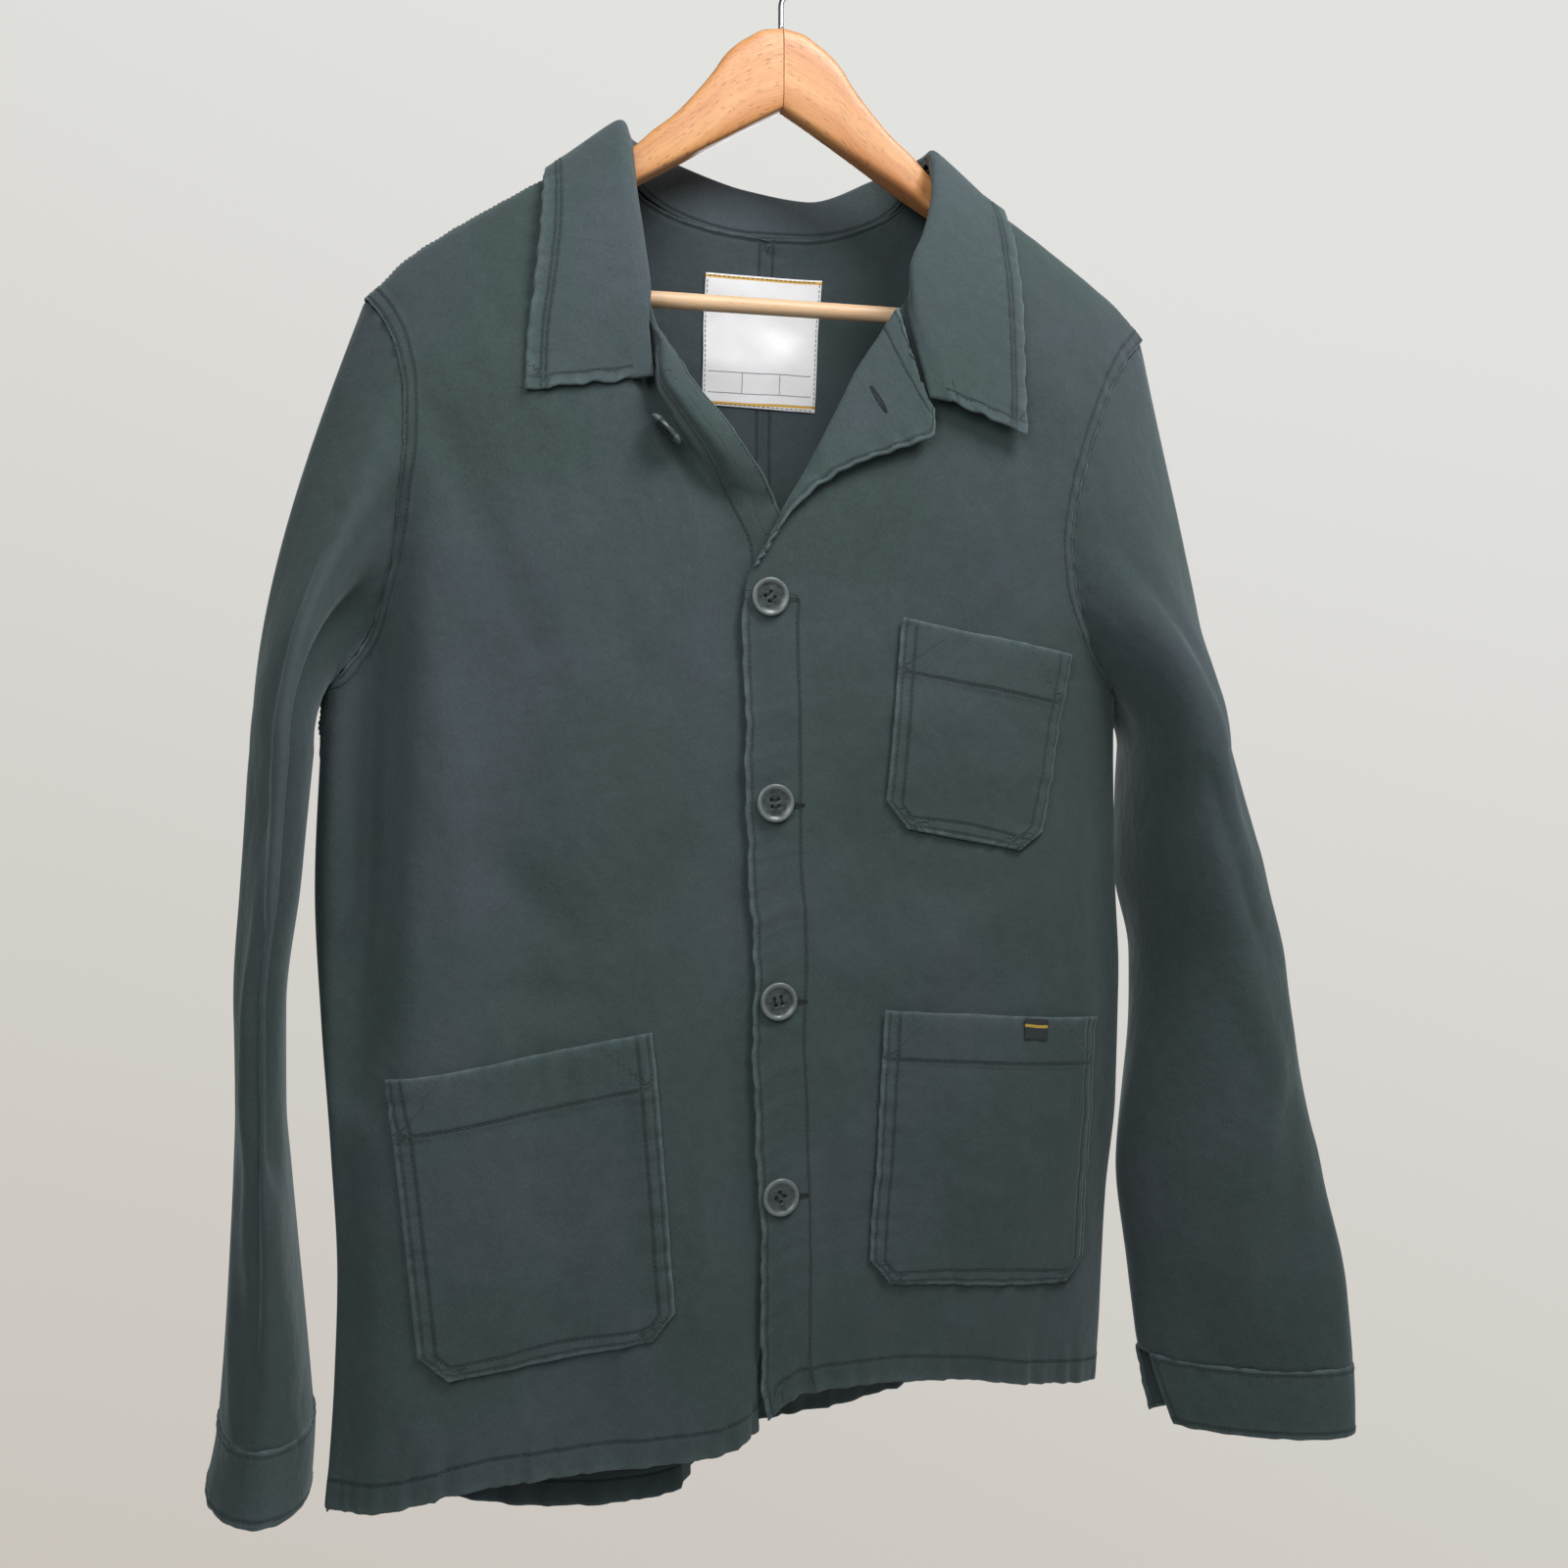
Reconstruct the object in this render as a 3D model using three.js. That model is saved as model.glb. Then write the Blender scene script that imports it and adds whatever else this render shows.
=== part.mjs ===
// A chore jacket on a wooden hanger, hung up by the hanger's hook.
// Millimetres, +Z up. The front looks along -Y and the wearer's left is +X.
// The origin is where the hook rests: the inside of the top of its bend.
import * as THREE from "three";

// Sizes that drive the whole part.
const cloth = 1.6; // wall of one layer of heavy cotton
const doubled = 2.4; // wall of collar, lapel and cuffs
const seam = 0.3; // gap between pieces at a seam
const sideSeamGap = 0.7;
const shoulderSeamGap = 1.6;
const roundWidth = 100; // how far in from each side the body rounds
const roundDrop = 120; // how far below the shoulder ridge the body rounds
const pocketLift = cloth + seam + 0.9; // middle of a patch pocket's wall above the panel's
const chamfer = 14; // cut corner at the bottom of each pocket

const green = { color: 0x3a4947, roughness: 0.92, metalness: 0 };
const palerGreen = { color: 0x46585a, roughness: 0.92, metalness: 0 };
const beech = { color: 0xc98f58, roughness: 0.5, metalness: 0 };
const paleBeech = { color: 0xd9b183, roughness: 0.55, metalness: 0 };
const steel = { color: 0xb4b6b8, roughness: 0.3, metalness: 1 };
const horn = { color: 0x3c4443, roughness: 0.35, metalness: 0 };
const satin = { color: 0xe6e6ea, roughness: 0.45, metalness: 0 };

const { lerp, clamp } = THREE.MathUtils;
const vec = (x, y, z) => new THREE.Vector3(x, y, z);

// A table whose named columns are read as smooth curves of its first column.
function table(names, rows) {
  const sorted = [...rows].sort((a, b) => a[0] - b[0]);
  const keys = sorted.map((row) => row[0]);
  const slopes = names.map((name, c) => {
    const rise = keys.slice(1).map((k, i) => (sorted[i + 1][c] - sorted[i][c]) / (k - keys[i]));
    return keys.map((_, i) => {
      if (i === 0) return rise[0];
      if (i === keys.length - 1) return rise[i - 1];
      if (rise[i - 1] * rise[i] <= 0) return 0;
      return (2 * rise[i - 1] * rise[i]) / (rise[i - 1] + rise[i]);
    });
  });
  const at = (name, key) => {
    const c = names.indexOf(name);
    const k = clamp(key, keys[0], keys[keys.length - 1]);
    let i = 0;
    while (i < keys.length - 2 && k > keys[i + 1]) i++;
    const span = keys[i + 1] - keys[i];
    const t = (k - keys[i]) / span;
    const a = sorted[i][c];
    const b = sorted[i + 1][c];
    return (
      (1 + 2 * t) * (1 - t) ** 2 * a +
      t * t * (3 - 2 * t) * b +
      span * (t * (1 - t) ** 2 * slopes[c][i] - t * t * (1 - t) * slopes[c][i + 1])
    );
  };
  return { at };
}

const evenly = (count) => Array.from({ length: count + 1 }, (_, i) => i / count);

// A closed wall round a grid of points (rows of columns), half its thickness to each side.
// A looped grid joins its last column to its first, and stays open at its first and last row.
function wall(grid, thickness, looped = false) {
  const rows = grid.length;
  const cols = grid[0].length;
  const colAt = (i) => (looped ? (i + cols) % cols : clamp(i, 0, cols - 1));
  const rowAt = (j) => clamp(j, 0, rows - 1);
  const positions = [];
  for (const side of [0.5, -0.5]) {
    for (let j = 0; j < rows; j++) {
      for (let i = 0; i < cols; i++) {
        const across = grid[j][colAt(i + 1)].clone().sub(grid[j][colAt(i - 1)]);
        const along = grid[rowAt(j + 1)][i].clone().sub(grid[rowAt(j - 1)][i]);
        const normal = across.cross(along).normalize();
        const t = typeof thickness === "function" ? thickness(j / (rows - 1), i / (cols - 1)) : thickness;
        positions.push(...grid[j][i].clone().addScaledVector(normal, side * t).toArray());
      }
    }
  }
  const index = [];
  const at = (side, j, i) => side * rows * cols + j * cols + colAt(i);
  const quad = (a, b, c, d) => index.push(a, b, c, a, c, d);
  const lastCol = looped ? cols : cols - 1;
  for (let j = 0; j < rows - 1; j++) {
    for (let i = 0; i < lastCol; i++) {
      quad(at(0, j, i), at(0, j, i + 1), at(0, j + 1, i + 1), at(0, j + 1, i));
      quad(at(1, j, i), at(1, j + 1, i), at(1, j + 1, i + 1), at(1, j, i + 1));
    }
  }
  for (let i = 0; i < lastCol; i++) {
    quad(at(0, 0, i), at(1, 0, i), at(1, 0, i + 1), at(0, 0, i + 1));
    quad(at(0, rows - 1, i), at(0, rows - 1, i + 1), at(1, rows - 1, i + 1), at(1, rows - 1, i));
  }
  if (!looped) {
    for (let j = 0; j < rows - 1; j++) {
      quad(at(0, j, 0), at(0, j + 1, 0), at(1, j + 1, 0), at(1, j, 0));
      quad(at(0, j, cols - 1), at(1, j, cols - 1), at(1, j + 1, cols - 1), at(0, j + 1, cols - 1));
    }
  }
  return facingOut(positions, index);
}

// A geometry whose triangles face out, turned round if its volume comes out negative.
function facingOut(positions, index) {
  const corner = (k) => vec(...positions.slice(3 * k, 3 * k + 3));
  let volume = 0;
  for (let k = 0; k < index.length; k += 3) {
    volume += corner(index[k]).dot(corner(index[k + 1]).cross(corner(index[k + 2])));
  }
  if (volume < 0) index.reverse();
  const geometry = new THREE.BufferGeometry();
  geometry.setAttribute("position", new THREE.Float32BufferAttribute(positions, 3));
  geometry.setIndex(index);
  geometry.computeVertexNormals();
  return geometry;
}

const root = new THREE.Group();
function add(name, geometry, look) {
  const mesh = new THREE.Mesh(geometry, new THREE.MeshStandardMaterial(look));
  mesh.name = name;
  root.add(mesh);
  return mesh;
}

// Body: its two sides, and how far front and back stand off the line between them.
const body = table(
  ["z", "right", "left", "rightY", "leftY", "front", "back"],
  [
    [-140, -262, 256, 0, 0, 40, 44],
    [-248, -263, 248, 0, 0, 43, 47],
    [-320, -269, 236, -4, 2, 47, 51],
    [-475, -271, 223, -11, 6, 47, 51],
    [-590, -276, 226, -14, 8, 46, 49],
    [-660, -273, 230, -20, 10, 45, 49],
    [-735, -268, 230, -28, 13, 43, 49],
    [-800, -265, 225, -33, 16, 41, 49],
    [-860, -267, 223, -37, 18, 39, 49],
    [-940, -273, 220, -44, 20, 36, 49],
  ],
);

// Ridge of the shoulders, by distance from the neck's middle.
const shoulder = table(
  ["x", "z"],
  [
    [0, -128],
    [94, -146],
    [105, -152],
    [143, -172.5],
    [176, -193],
    [204, -211.5],
    [224, -226.5],
    [240, -243.5],
    [246, -249],
    [248, -251],
  ],
);

// The largest folds: soft ridges (+) and troughs (-) along a line on one panel.
const folds = [
  { panel: "frontRight", x0: -128, z0: -330, x1: -140, z1: -600, width: 34, height: 4 },
  { panel: "frontRight", x0: -196, z0: -420, x1: -150, z1: -690, width: 32, height: -5 },
  { panel: "frontRight", x0: -148, z0: -690, x1: -150, z1: -890, width: 28, height: -4 },
  { panel: "frontRight", x0: -230, z0: -640, x1: -232, z1: -880, width: 28, height: 3 },
  { panel: "frontRight", x0: -92, z0: -540, x1: -84, z1: -840, width: 28, height: 3 },
  { panel: "frontLeft", x0: 30, z0: -500, x1: 32, z1: -720, width: 24, height: -4 },
  { panel: "frontLeft", x0: 176, z0: -470, x1: 200, z1: -640, width: 24, height: -4 },
  { panel: "frontLeft", x0: 150, z0: -590, x1: 60, z1: -650, width: 24, height: 3 },
  { panel: "frontLeft", x0: 112, z0: -680, x1: 116, z1: -880, width: 36, height: 3 },
  { panel: "back", x0: -190, z0: -330, x1: -90, z1: -520, width: 30, height: -6 },
  { panel: "back", x0: 176, z0: -330, x1: 90, z1: -540, width: 30, height: -6 },
  { panel: "back", x0: -150, z0: -560, x1: -140, z1: -900, width: 30, height: 6 },
  { panel: "back", x0: 120, z0: -600, x1: 140, z1: -900, width: 34, height: 7 },
];

const quarter = (t) => Math.sqrt(1 - (1 - clamp(t, 0, 1)) ** 2);

function foldHeight(panel, x, z) {
  let sum = 0;
  for (const f of folds) {
    if (f.panel !== panel) continue;
    const dx = f.x1 - f.x0;
    const dz = f.z1 - f.z0;
    const along = ((x - f.x0) * dx + (z - f.z0) * dz) / (dx * dx + dz * dz);
    const near = clamp(along, 0, 1);
    const away = Math.hypot(x - f.x0 - near * dx, z - f.z0 - near * dz);
    const ends = Math.sin(Math.PI * clamp(0.12 + 0.76 * along, 0, 1));
    sum += f.height * ends * Math.exp(-((away / f.width) ** 2));
  }
  return sum;
}

// Back hem: a deep fold swings the cloth to the rear past x = hemFold, and fades out above.
const hemFold = { x: -46, width: 24, front: -26, rear: 42, fadeFrom: -480, fadeTo: -960 };
function hemSwing(x, z) {
  const grow = clamp((hemFold.fadeFrom - z) / (hemFold.fadeFrom - hemFold.fadeTo), 0, 1) ** 1.7;
  const step = THREE.MathUtils.smoothstep(x, hemFold.x - hemFold.width, hemFold.x + hemFold.width);
  const inner = quarter((x + 273) / 140);
  const outer = quarter((220 - x) / 190);
  return grow * (lerp(hemFold.front * inner, hemFold.rear * outer, step));
}

// Depth of a body surface at (x, z): face -1 for the front, +1 for the back.
function bodyY(face, x, z) {
  const right = body.at("right", z);
  const left = body.at("left", z);
  const inside = Math.min(x - right, left - x);
  const drop = shoulder.at("z", Math.abs(x)) - z;
  const shape = quarter(inside / roundWidth) * quarter(drop / roundDrop);
  const line = lerp(body.at("rightY", z), body.at("leftY", z), (x - right) / (left - right));
  const middle = (right + left) / 2;
  const panel = face > 0 ? "back" : x < middle ? "frontRight" : "frontLeft";
  const depth = body.at(face > 0 ? "back" : "front", z) + foldHeight(panel, x, z);
  const swing = face > 0 ? hemSwing(x, z) : 0;
  return line + shape * (face * depth + swing);
}
const onBody = (face, x, z) => vec(x, bodyY(face, x, z), z);

// Seam lines round a panel, as (x, z) by a key that runs from 0 to 1.
const armholes = {
  frontRight: table(
    ["t", "x", "z"],
    [
      [0, -271, -475],
      [0.07, -262, -465],
      [0.15, -250, -449],
      [0.25, -240, -428],
      [0.37, -232, -400],
      [0.5, -228.5, -366],
      [0.63, -226, -335],
      [0.75, -225.5, -308],
      [0.86, -229, -284],
      [0.94, -236, -265],
      [1, -246, -249],
    ],
  ),
  frontLeft: table(
    ["t", "x", "z"],
    [
      [0, 223, -475],
      [0.07, 212, -466],
      [0.15, 200, -452],
      [0.25, 188, -432],
      [0.37, 179, -407],
      [0.5, 176, -380],
      [0.63, 180, -350],
      [0.75, 188, -322],
      [0.86, 200, -292],
      [0.94, 218, -264],
      [1, 240, -243.5],
    ],
  ),
  backRight: table(
    ["t", "x", "z"],
    [
      [0, -271, -475],
      [0.1, -256, -457],
      [0.25, -238, -425],
      [0.45, -228, -375],
      [0.65, -226, -325],
      [0.82, -230, -286],
      [0.93, -238, -262],
      [1, -246, -249],
    ],
  ),
  backLeft: table(
    ["t", "x", "z"],
    [
      [0, 223, -475],
      [0.1, 208, -460],
      [0.25, 196, -432],
      [0.45, 190, -380],
      [0.65, 194, -328],
      [0.82, 206, -286],
      [0.93, 224, -260],
      [1, 240, -243.5],
    ],
  ),
};

// Back necklines from the shoulder seam (0) to the middle of the back (1).
const necklines = {
  backRight: table(
    ["t", "x", "z"],
    [
      [0, -96, -147.5],
      [0.25, -88, -163],
      [0.55, -62, -176],
      [0.8, -30, -182],
      [1, 0, -184],
    ],
  ),
  backLeft: table(
    ["t", "x", "z"],
    [
      [0, 94, -147],
      [0.25, 84, -163],
      [0.55, 58, -176],
      [0.8, 28, -183],
      [1, 0, -184],
    ],
  ),
};

// Hems by x, and the free edges by z.
const frontHem = table(
  ["x", "z"],
  [
    [-271, -928],
    [-244, -926],
    [-213, -920],
    [-180, -916],
    [-130, -917],
    [-85, -919],
    [-50, -919],
    [-24, -909],
    [-18, -906],
    [-8, -898],
    [3, -894],
    [40, -894],
    [105, -900],
    [160, -912],
    [222, -927],
  ],
);
const backHem = table(
  ["x", "z"],
  [
    [-271, -932],
    [-220, -942],
    [-187, -953],
    [-131, -965],
    [-82, -969],
    [-50, -967],
    [0, -964],
    [60, -962],
    [110, -954],
    [146, -946],
    [222, -926],
  ],
);
const leftEdge = table(
  ["z", "x"],
  [
    [-906, -20],
    [-885, -23.5],
    [-826, -24],
    [-738, -27],
    [-689, -29.8],
    [-650, -28],
    [-613, -29],
    [-584, -31.8],
    [-543, -32.7],
    [-482, -33.8],
    [-440, -35],
    [-411, -33],
    [-399, -28],
    [-385, -18.5],
    [-365, -9],
    [-351, -1],
    [-326, 13],
    [-306, 23.5],
    [-283, 35],
    [-265, 48],
    [-246, 62],
    [-228, 74],
    [-206, 86],
    [-178, 94],
    [-147, 94],
  ],
);

// The wearer's right front edge: crease, ridge and free edge of its last 40 mm. Above the
// gorge the three run close together along the neckline.
const rightEdge = table(
  ["z", "creaseX", "creaseIn", "ridgeX", "ridgeOut", "edgeX", "edgeOut"],
  [
    [-147.5, -102, 0, -99, 0, -96, 0],
    [-178, -103, 0, -100, 0, -97, 0],
    [-214, -100, 0, -97, 0, -94, 0],
    [-246, -95, 0, -92, 0, -89, 0],
    [-262, -90.5, 2, -88, 2, -85, 1],
    [-276, -86, 6, -82, 8, -77, 3],
    [-294, -85, 11, -83.5, 17, -67, 11],
    [-312, -76, 12, -74, 19, -50, 12],
    [-329, -66, 10, -60, 16, -36, 9],
    [-346, -57, 6, -46, 7, -22, 1],
    [-362, -49, 5, -35, -3, -12, -7.6],
    [-390, -42, 5, -22, -5.8, 2, -6.4],
    [-430, -40, 5, -18, -5, 4, -5.8],
    [-600, -39, 5, -16, -5, 6, -5.8],
    [-770, -38, 5, -16, -5, 4, -6],
    [-820, -40, 3, -25, -5, -12, -8],
    [-870, -46, 1, -28, -4, -22, -14],
    [-915, -48, 0, -27, -4, -25, -20],
  ],
);

const point2 = (curve, t) => ({ x: curve.at("x", t), z: curve.at("z", t) });

// A grid of (x, z) spread between four sides, each a function of a key from 0 to 1.
function spread(sides, us, vs) {
  const { hem, top, outer, inner } = sides;
  const corners = [hem(0), hem(1), top(0), top(1)];
  return vs.map((v) =>
    us.map((u) => {
      const [h, t, o, i] = [hem(u), top(u), outer(v), inner(v)];
      const mix = (k) =>
        (1 - v) * h[k] +
        v * t[k] +
        (1 - u) * o[k] +
        u * i[k] -
        (1 - u) * (1 - v) * corners[0][k] -
        u * (1 - v) * corners[1][k] -
        (1 - u) * v * corners[2][k] -
        u * v * corners[3][k];
      return { x: mix("x"), z: mix("z") };
    }),
  );
}

const underarmV = 0.6; // share of a panel's rows that lie below the underarm
const bodyRows = 27;
const frontCols = 15;
const backCols = 11;
const underarmZ = -475;
const stripKeys = [0.36, 0.45, 0.56, 0.667, 0.78, 0.89, 1]; // columns of the right front's edge strip
const neckShare = 0.4; // share of a back's top side that is neckline

// Rows crowd towards the shoulder ridge and columns towards the side, where the cloth rounds.
const crowded = (v) => 1 - (1 - underarmV) * ((1 - v) / (1 - underarmV)) ** 1.7;
const rowKeys = evenly(bodyRows).map((v) => (v < underarmV ? v : crowded(v)));
const colKeys = evenly(frontCols).map((u) => u ** 1.5);

// Outer side of a panel: the side seam up to the underarm, then the armhole.
function outerSide(sideName, hemZ, armhole) {
  const underarm = armhole.at("z", 0);
  return (v) => {
    if (v >= underarmV) return point2(armhole, (v - underarmV) / (1 - underarmV));
    const z = lerp(hemZ, underarm, v / underarmV);
    return { x: body.at(sideName, z), z };
  };
}

const onShoulder = (x) => ({ x, z: shoulder.at("z", Math.abs(x)) });

// Top of a back: the shoulder seam, then the neckline.
function backTop(armhole, neckline) {
  const tip = point2(armhole, 1);
  const neck = point2(neckline, 0);
  return (u) => {
    if (u > 1 - neckShare) return point2(neckline, (u - 1 + neckShare) / neckShare);
    return onShoulder(lerp(tip.x, neck.x, u / (1 - neckShare)));
  };
}

// Inner side of a panel, straight in z up to the underarm's height and on to its top.
function innerSide(bottomZ, topZ, xAt) {
  return (v) => {
    const above = (v - underarmV) / (1 - underarmV);
    const z = above < 0 ? lerp(bottomZ, underarmZ, v / underarmV) : lerp(underarmZ, topZ, above);
    return { x: xAt(z), z };
  };
}

const hemSide = (hem, from, to) => (u) => {
  const x = lerp(from, to, u);
  return { x, z: hem.at("z", x) };
};

// Parts front and back along their side seam and shoulder seam.
function partSeams(point, face, u, v) {
  if (v === 1) point.y += (face * shoulderSeamGap) / 2;
  else if (u === 0) point.y += (face * sideSeamGap) / 2;
  return point;
}

function frontLeftGrid() {
  const bottom = -906;
  const neck = onShoulder(leftEdge.at("x", -147));
  const sides = {
    outer: outerSide("left", frontHem.at("z", 220), armholes.frontLeft),
    inner: innerSide(bottom, neck.z, (z) => leftEdge.at("x", z)),
    hem: hemSide(frontHem, body.at("left", -927), leftEdge.at("x", bottom)),
    top: (u) => onShoulder(lerp(armholes.frontLeft.at("x", 1), neck.x, u)),
  };
  return spread(sides, colKeys, rowKeys).map((row, j) =>
    row.map((p, i) => partSeams(onBody(-1, p.x, p.z), -1, colKeys[i], rowKeys[j])),
  );
}

const neckPointZ = -147.5; // the wearer's right neck point
const gorgeZ = -262; // below it the wearer's right front edge stands free
const closedZ = -420; // below it the edge lies under the buttoned left front
const lastUncoveredX = -24;
const stripDroop = 0.12; // how far the free strip hangs down towards its edge

// A point of the right front's edge strip, for the row whose crease is at rowZ.
function edgeGuide(kind, back, rowZ, isHem) {
  const x = rightEdge.at(kind + "X", rowZ);
  const creaseX = rightEdge.at("creaseX", rowZ);
  const free = clamp((gorgeZ - rowZ) / 40, 0, 1) * clamp((rowZ - closedZ) / 40, 0, 1);
  const upper = clamp((rowZ - gorgeZ) / (neckPointZ - gorgeZ), 0, 1);
  const alongShoulder = onShoulder(x).z - onShoulder(creaseX).z;
  const alongHem = isHem ? frontHem.at("z", x) - rowZ : 0;
  const z = rowZ + upper * alongShoulder - stripDroop * free * (x - creaseX) + alongHem;
  return vec(x, bodyY(-1, Math.min(x, lastUncoveredX), z) + back, z);
}

function frontRightGrid() {
  const neck = onShoulder(rightEdge.at("creaseX", neckPointZ));
  const sides = {
    outer: outerSide("right", frontHem.at("z", -271), armholes.frontRight),
    inner: innerSide(-921, neck.z, (z) => rightEdge.at("creaseX", z)),
    hem: hemSide(frontHem, body.at("right", -933), rightEdge.at("creaseX", -915)),
    top: (u) => onShoulder(lerp(armholes.frontRight.at("x", 1), neck.x, u)),
  };
  return spread(sides, colKeys, rowKeys).map((row, j) => {
    const rowZ = row[row.length - 1].z;
    const panel = row.slice(0, -1).map((p) => onBody(-1, p.x, p.z));
    const crease = edgeGuide("crease", rightEdge.at("creaseIn", rowZ), rowZ, j === 0);
    const ridge = edgeGuide("ridge", -rightEdge.at("ridgeOut", rowZ), rowZ, j === 0);
    const edge = edgeGuide("edge", -rightEdge.at("edgeOut", rowZ), rowZ, j === 0);
    const guides = [panel[panel.length - 1], crease, ridge, edge];
    const run = new THREE.CatmullRomCurve3(guides, false, "centripetal");
    const strip = stripKeys.map((t) => run.getPoint(t));
    return [...panel, ...strip].map((p, i) => partSeams(p, -1, i, rowKeys[j]));
  });
}

function backGrid(side) {
  const name = side < 0 ? "Right" : "Left";
  const outerX = body.at(side < 0 ? "right" : "left", -930);
  const middleGap = side * (seam / 2);
  const bottom = backHem.at("z", 0);
  const sides = {
    outer: outerSide(side < 0 ? "right" : "left", backHem.at("z", outerX), armholes["back" + name]),
    inner: innerSide(bottom, -184, () => middleGap),
    hem: hemSide(backHem, outerX, middleGap),
    top: backTop(armholes["back" + name], necklines["back" + name]),
  };
  const cols = evenly(backCols).map((u) => u ** 1.5);
  return spread(sides, cols, rowKeys).map((row, j) =>
    row.map((p, i) => {
      const x = i === cols.length - 1 ? middleGap : p.x;
      return partSeams(onBody(1, x, p.z), 1, cols[i], rowKeys[j]);
    }),
  );
}

add("front_right", wall(frontRightGrid(), cloth), green);
add("front_left", wall(frontLeftGrid(), cloth), green);
add("back_right", wall(backGrid(-1), cloth), green);
add("back_left", wall(backGrid(1), cloth), green);

// Lapel: the wearer's left facing, turned out along the roll line.
const lapel = table(
  ["t", "rollX", "rollZ", "freeX", "freeZ", "rise"],
  [
    [0, -24, -394, -29, -401, 1],
    [0.08, -18, -384, -22, -390, 2.2],
    [0.2, -9, -366, -10, -372, 3.2],
    [0.33, 0, -351, 6, -355, 4.5],
    [0.48, 13, -327, 28, -341, 6],
    [0.62, 24, -306, 52, -332, 7],
    [0.78, 36, -283, 70, -325, 8],
    [0.86, 48, -265, 79, -320, 8],
    [0.93, 55, -254, 79, -309, 7],
    [1, 61, -245, 73, -299, 6],
  ],
);
const lapelStart = 0.14; // the lapel's narrow foot is left off
const lapelCols = [0, 0.3, 0.65, 1];
function lapelGrid() {
  const folded = doubled / 2 + cloth / 2 + seam;
  return evenly(10).map((s) => {
    const t = lerp(lapelStart, 1, s);
    const roll = vec(lapel.at("rollX", t) - 1, 0, lapel.at("rollZ", t));
    const free = vec(lapel.at("freeX", t), 0, lapel.at("freeZ", t));
    const rise = lapel.at("rise", t);
    return lapelCols.map((u) => {
      const x = lerp(roll.x, free.x, u);
      const z = lerp(roll.z, free.z, u);
      const lift = folded + rise * Math.sin((u * Math.PI) / 2);
      return vec(x, bodyY(-1, x, z) - lift, z);
    });
  });
}
add("facing_left", wall(lapelGrid(), doubled), palerGreen);

// Collar: stations from the wearer's right notch round the back neck to the left notch.
// At each the cloth runs from its seam (s) over the roll (r) to its outer edge (e).
const collar = table(
  ["t", "sx", "sy", "sz", "rx", "ry", "rz", "ex", "ey", "ez"],
  [
    [0, -88, -51, -294, -104, -52, -297, -159, -51, -306],
    [0.06, -90.5, -51, -261, -96, -53.5, -262, -157.5, -49, -275],
    [0.13, -88.5, -46, -243, -97, -50.5, -238, -153.5, -46, -246],
    [0.2, -90.8, -38, -214, -100.5, -45.5, -210, -149, -38, -212],
    [0.27, -93.6, -25, -177, -103, -35, -175, -146, -22, -183],
    [0.34, -94, -3, -144, -101, -4, -136, -141, 2, -166],
    [0.4, -87, 25, -158, -87, 27, -136, -122, 42, -187],
    [0.45, -61, 37, -173, -61, 42, -141, -82, 57, -205],
    [0.49, -12, 42, -182, -12, 49, -152, -12, 60, -213],
    [0.53, 30, 41, -181, 30, 47, -157, 40, 60, -211],
    [0.57, 66, 34, -173, 70, 39, -143, 86, 54, -203],
    [0.61, 86, 25, -158, 88, 26, -137, 122, 42, -189],
    [0.66, 92.5, -3, -143, 97, -4, -137, 138, 1, -167],
    [0.73, 91, -24, -174, 90, -32, -169, 141, -22, -188],
    [0.8, 82.2, -36, -205, 80, -45, -200, 140.5, -38, -220],
    [0.87, 69.8, -43.5, -231, 71.5, -51, -222, 139.5, -47, -252],
    [0.94, 66, -50.5, -248, 75, -54.5, -249, 139, -51, -284],
    [1, 77, -57, -299, 93, -58, -302, 138, -56, -318],
  ],
);

// Clearance from the middle of the body's wall to the middle of the collar's.
const collarClear = (cloth + doubled) / 2 + seam + 1.4;

// Moves a point of the fall out of the body that it lies on.
function drape(point) {
  const drop = shoulder.at("z", Math.abs(point.x)) - point.z;
  if (drop <= collarClear) {
    const ridge = shoulder.at("z", Math.abs(point.x)) + collarClear - 0.031 * point.y ** 2;
    point.z = Math.max(point.z, ridge);
  }
  if (drop > -collarClear) {
    const away = collarClear * clamp((drop + collarClear) / collarClear, 0, 1);
    if (point.y < 0) point.y = Math.min(point.y, bodyY(-1, point.x, point.z) - away);
    else point.y = Math.max(point.y, bodyY(1, point.x, point.z) + away);
  }
  return point;
}

// Stations of the collar, closer where it crosses the shoulders.
const collarKeys = [...evenly(38), 0.355, 0.645].sort((a, b) => a - b);

function collarGrid() {
  return collarKeys.map((s) => {
    const read = (k) => vec(collar.at(k + "x", s), collar.at(k + "y", s), collar.at(k + "z", s));
    const [base, roll, edge] = [read("s"), read("r"), read("e")];
    const over = edge.clone().sub(base);
    const stand = roll.clone().sub(base);
    const fall = edge.clone().sub(roll);
    const hermite = (p, m0, q, m1, t) =>
      p
        .clone()
        .multiplyScalar((1 + 2 * t) * (1 - t) ** 2)
        .addScaledVector(q, t * t * (3 - 2 * t))
        .addScaledVector(m0, t * (1 - t) ** 2)
        .addScaledVector(m1, -t * t * (1 - t));
    const turn = over.clone().multiplyScalar(0.35);
    const up = evenly(3).map((t) => hermite(base, stand, roll, turn, t));
    const rolling = turn.clone().multiplyScalar(1.2);
    const landing = fall.clone().multiplyScalar(0.9);
    const down = evenly(6).map((t) => drape(hermite(roll, rolling, edge, landing, t)));
    return [...up, ...down.slice(1)];
  });
}
add("collar", wall(collarGrid(), doubled), palerGreen);

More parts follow.
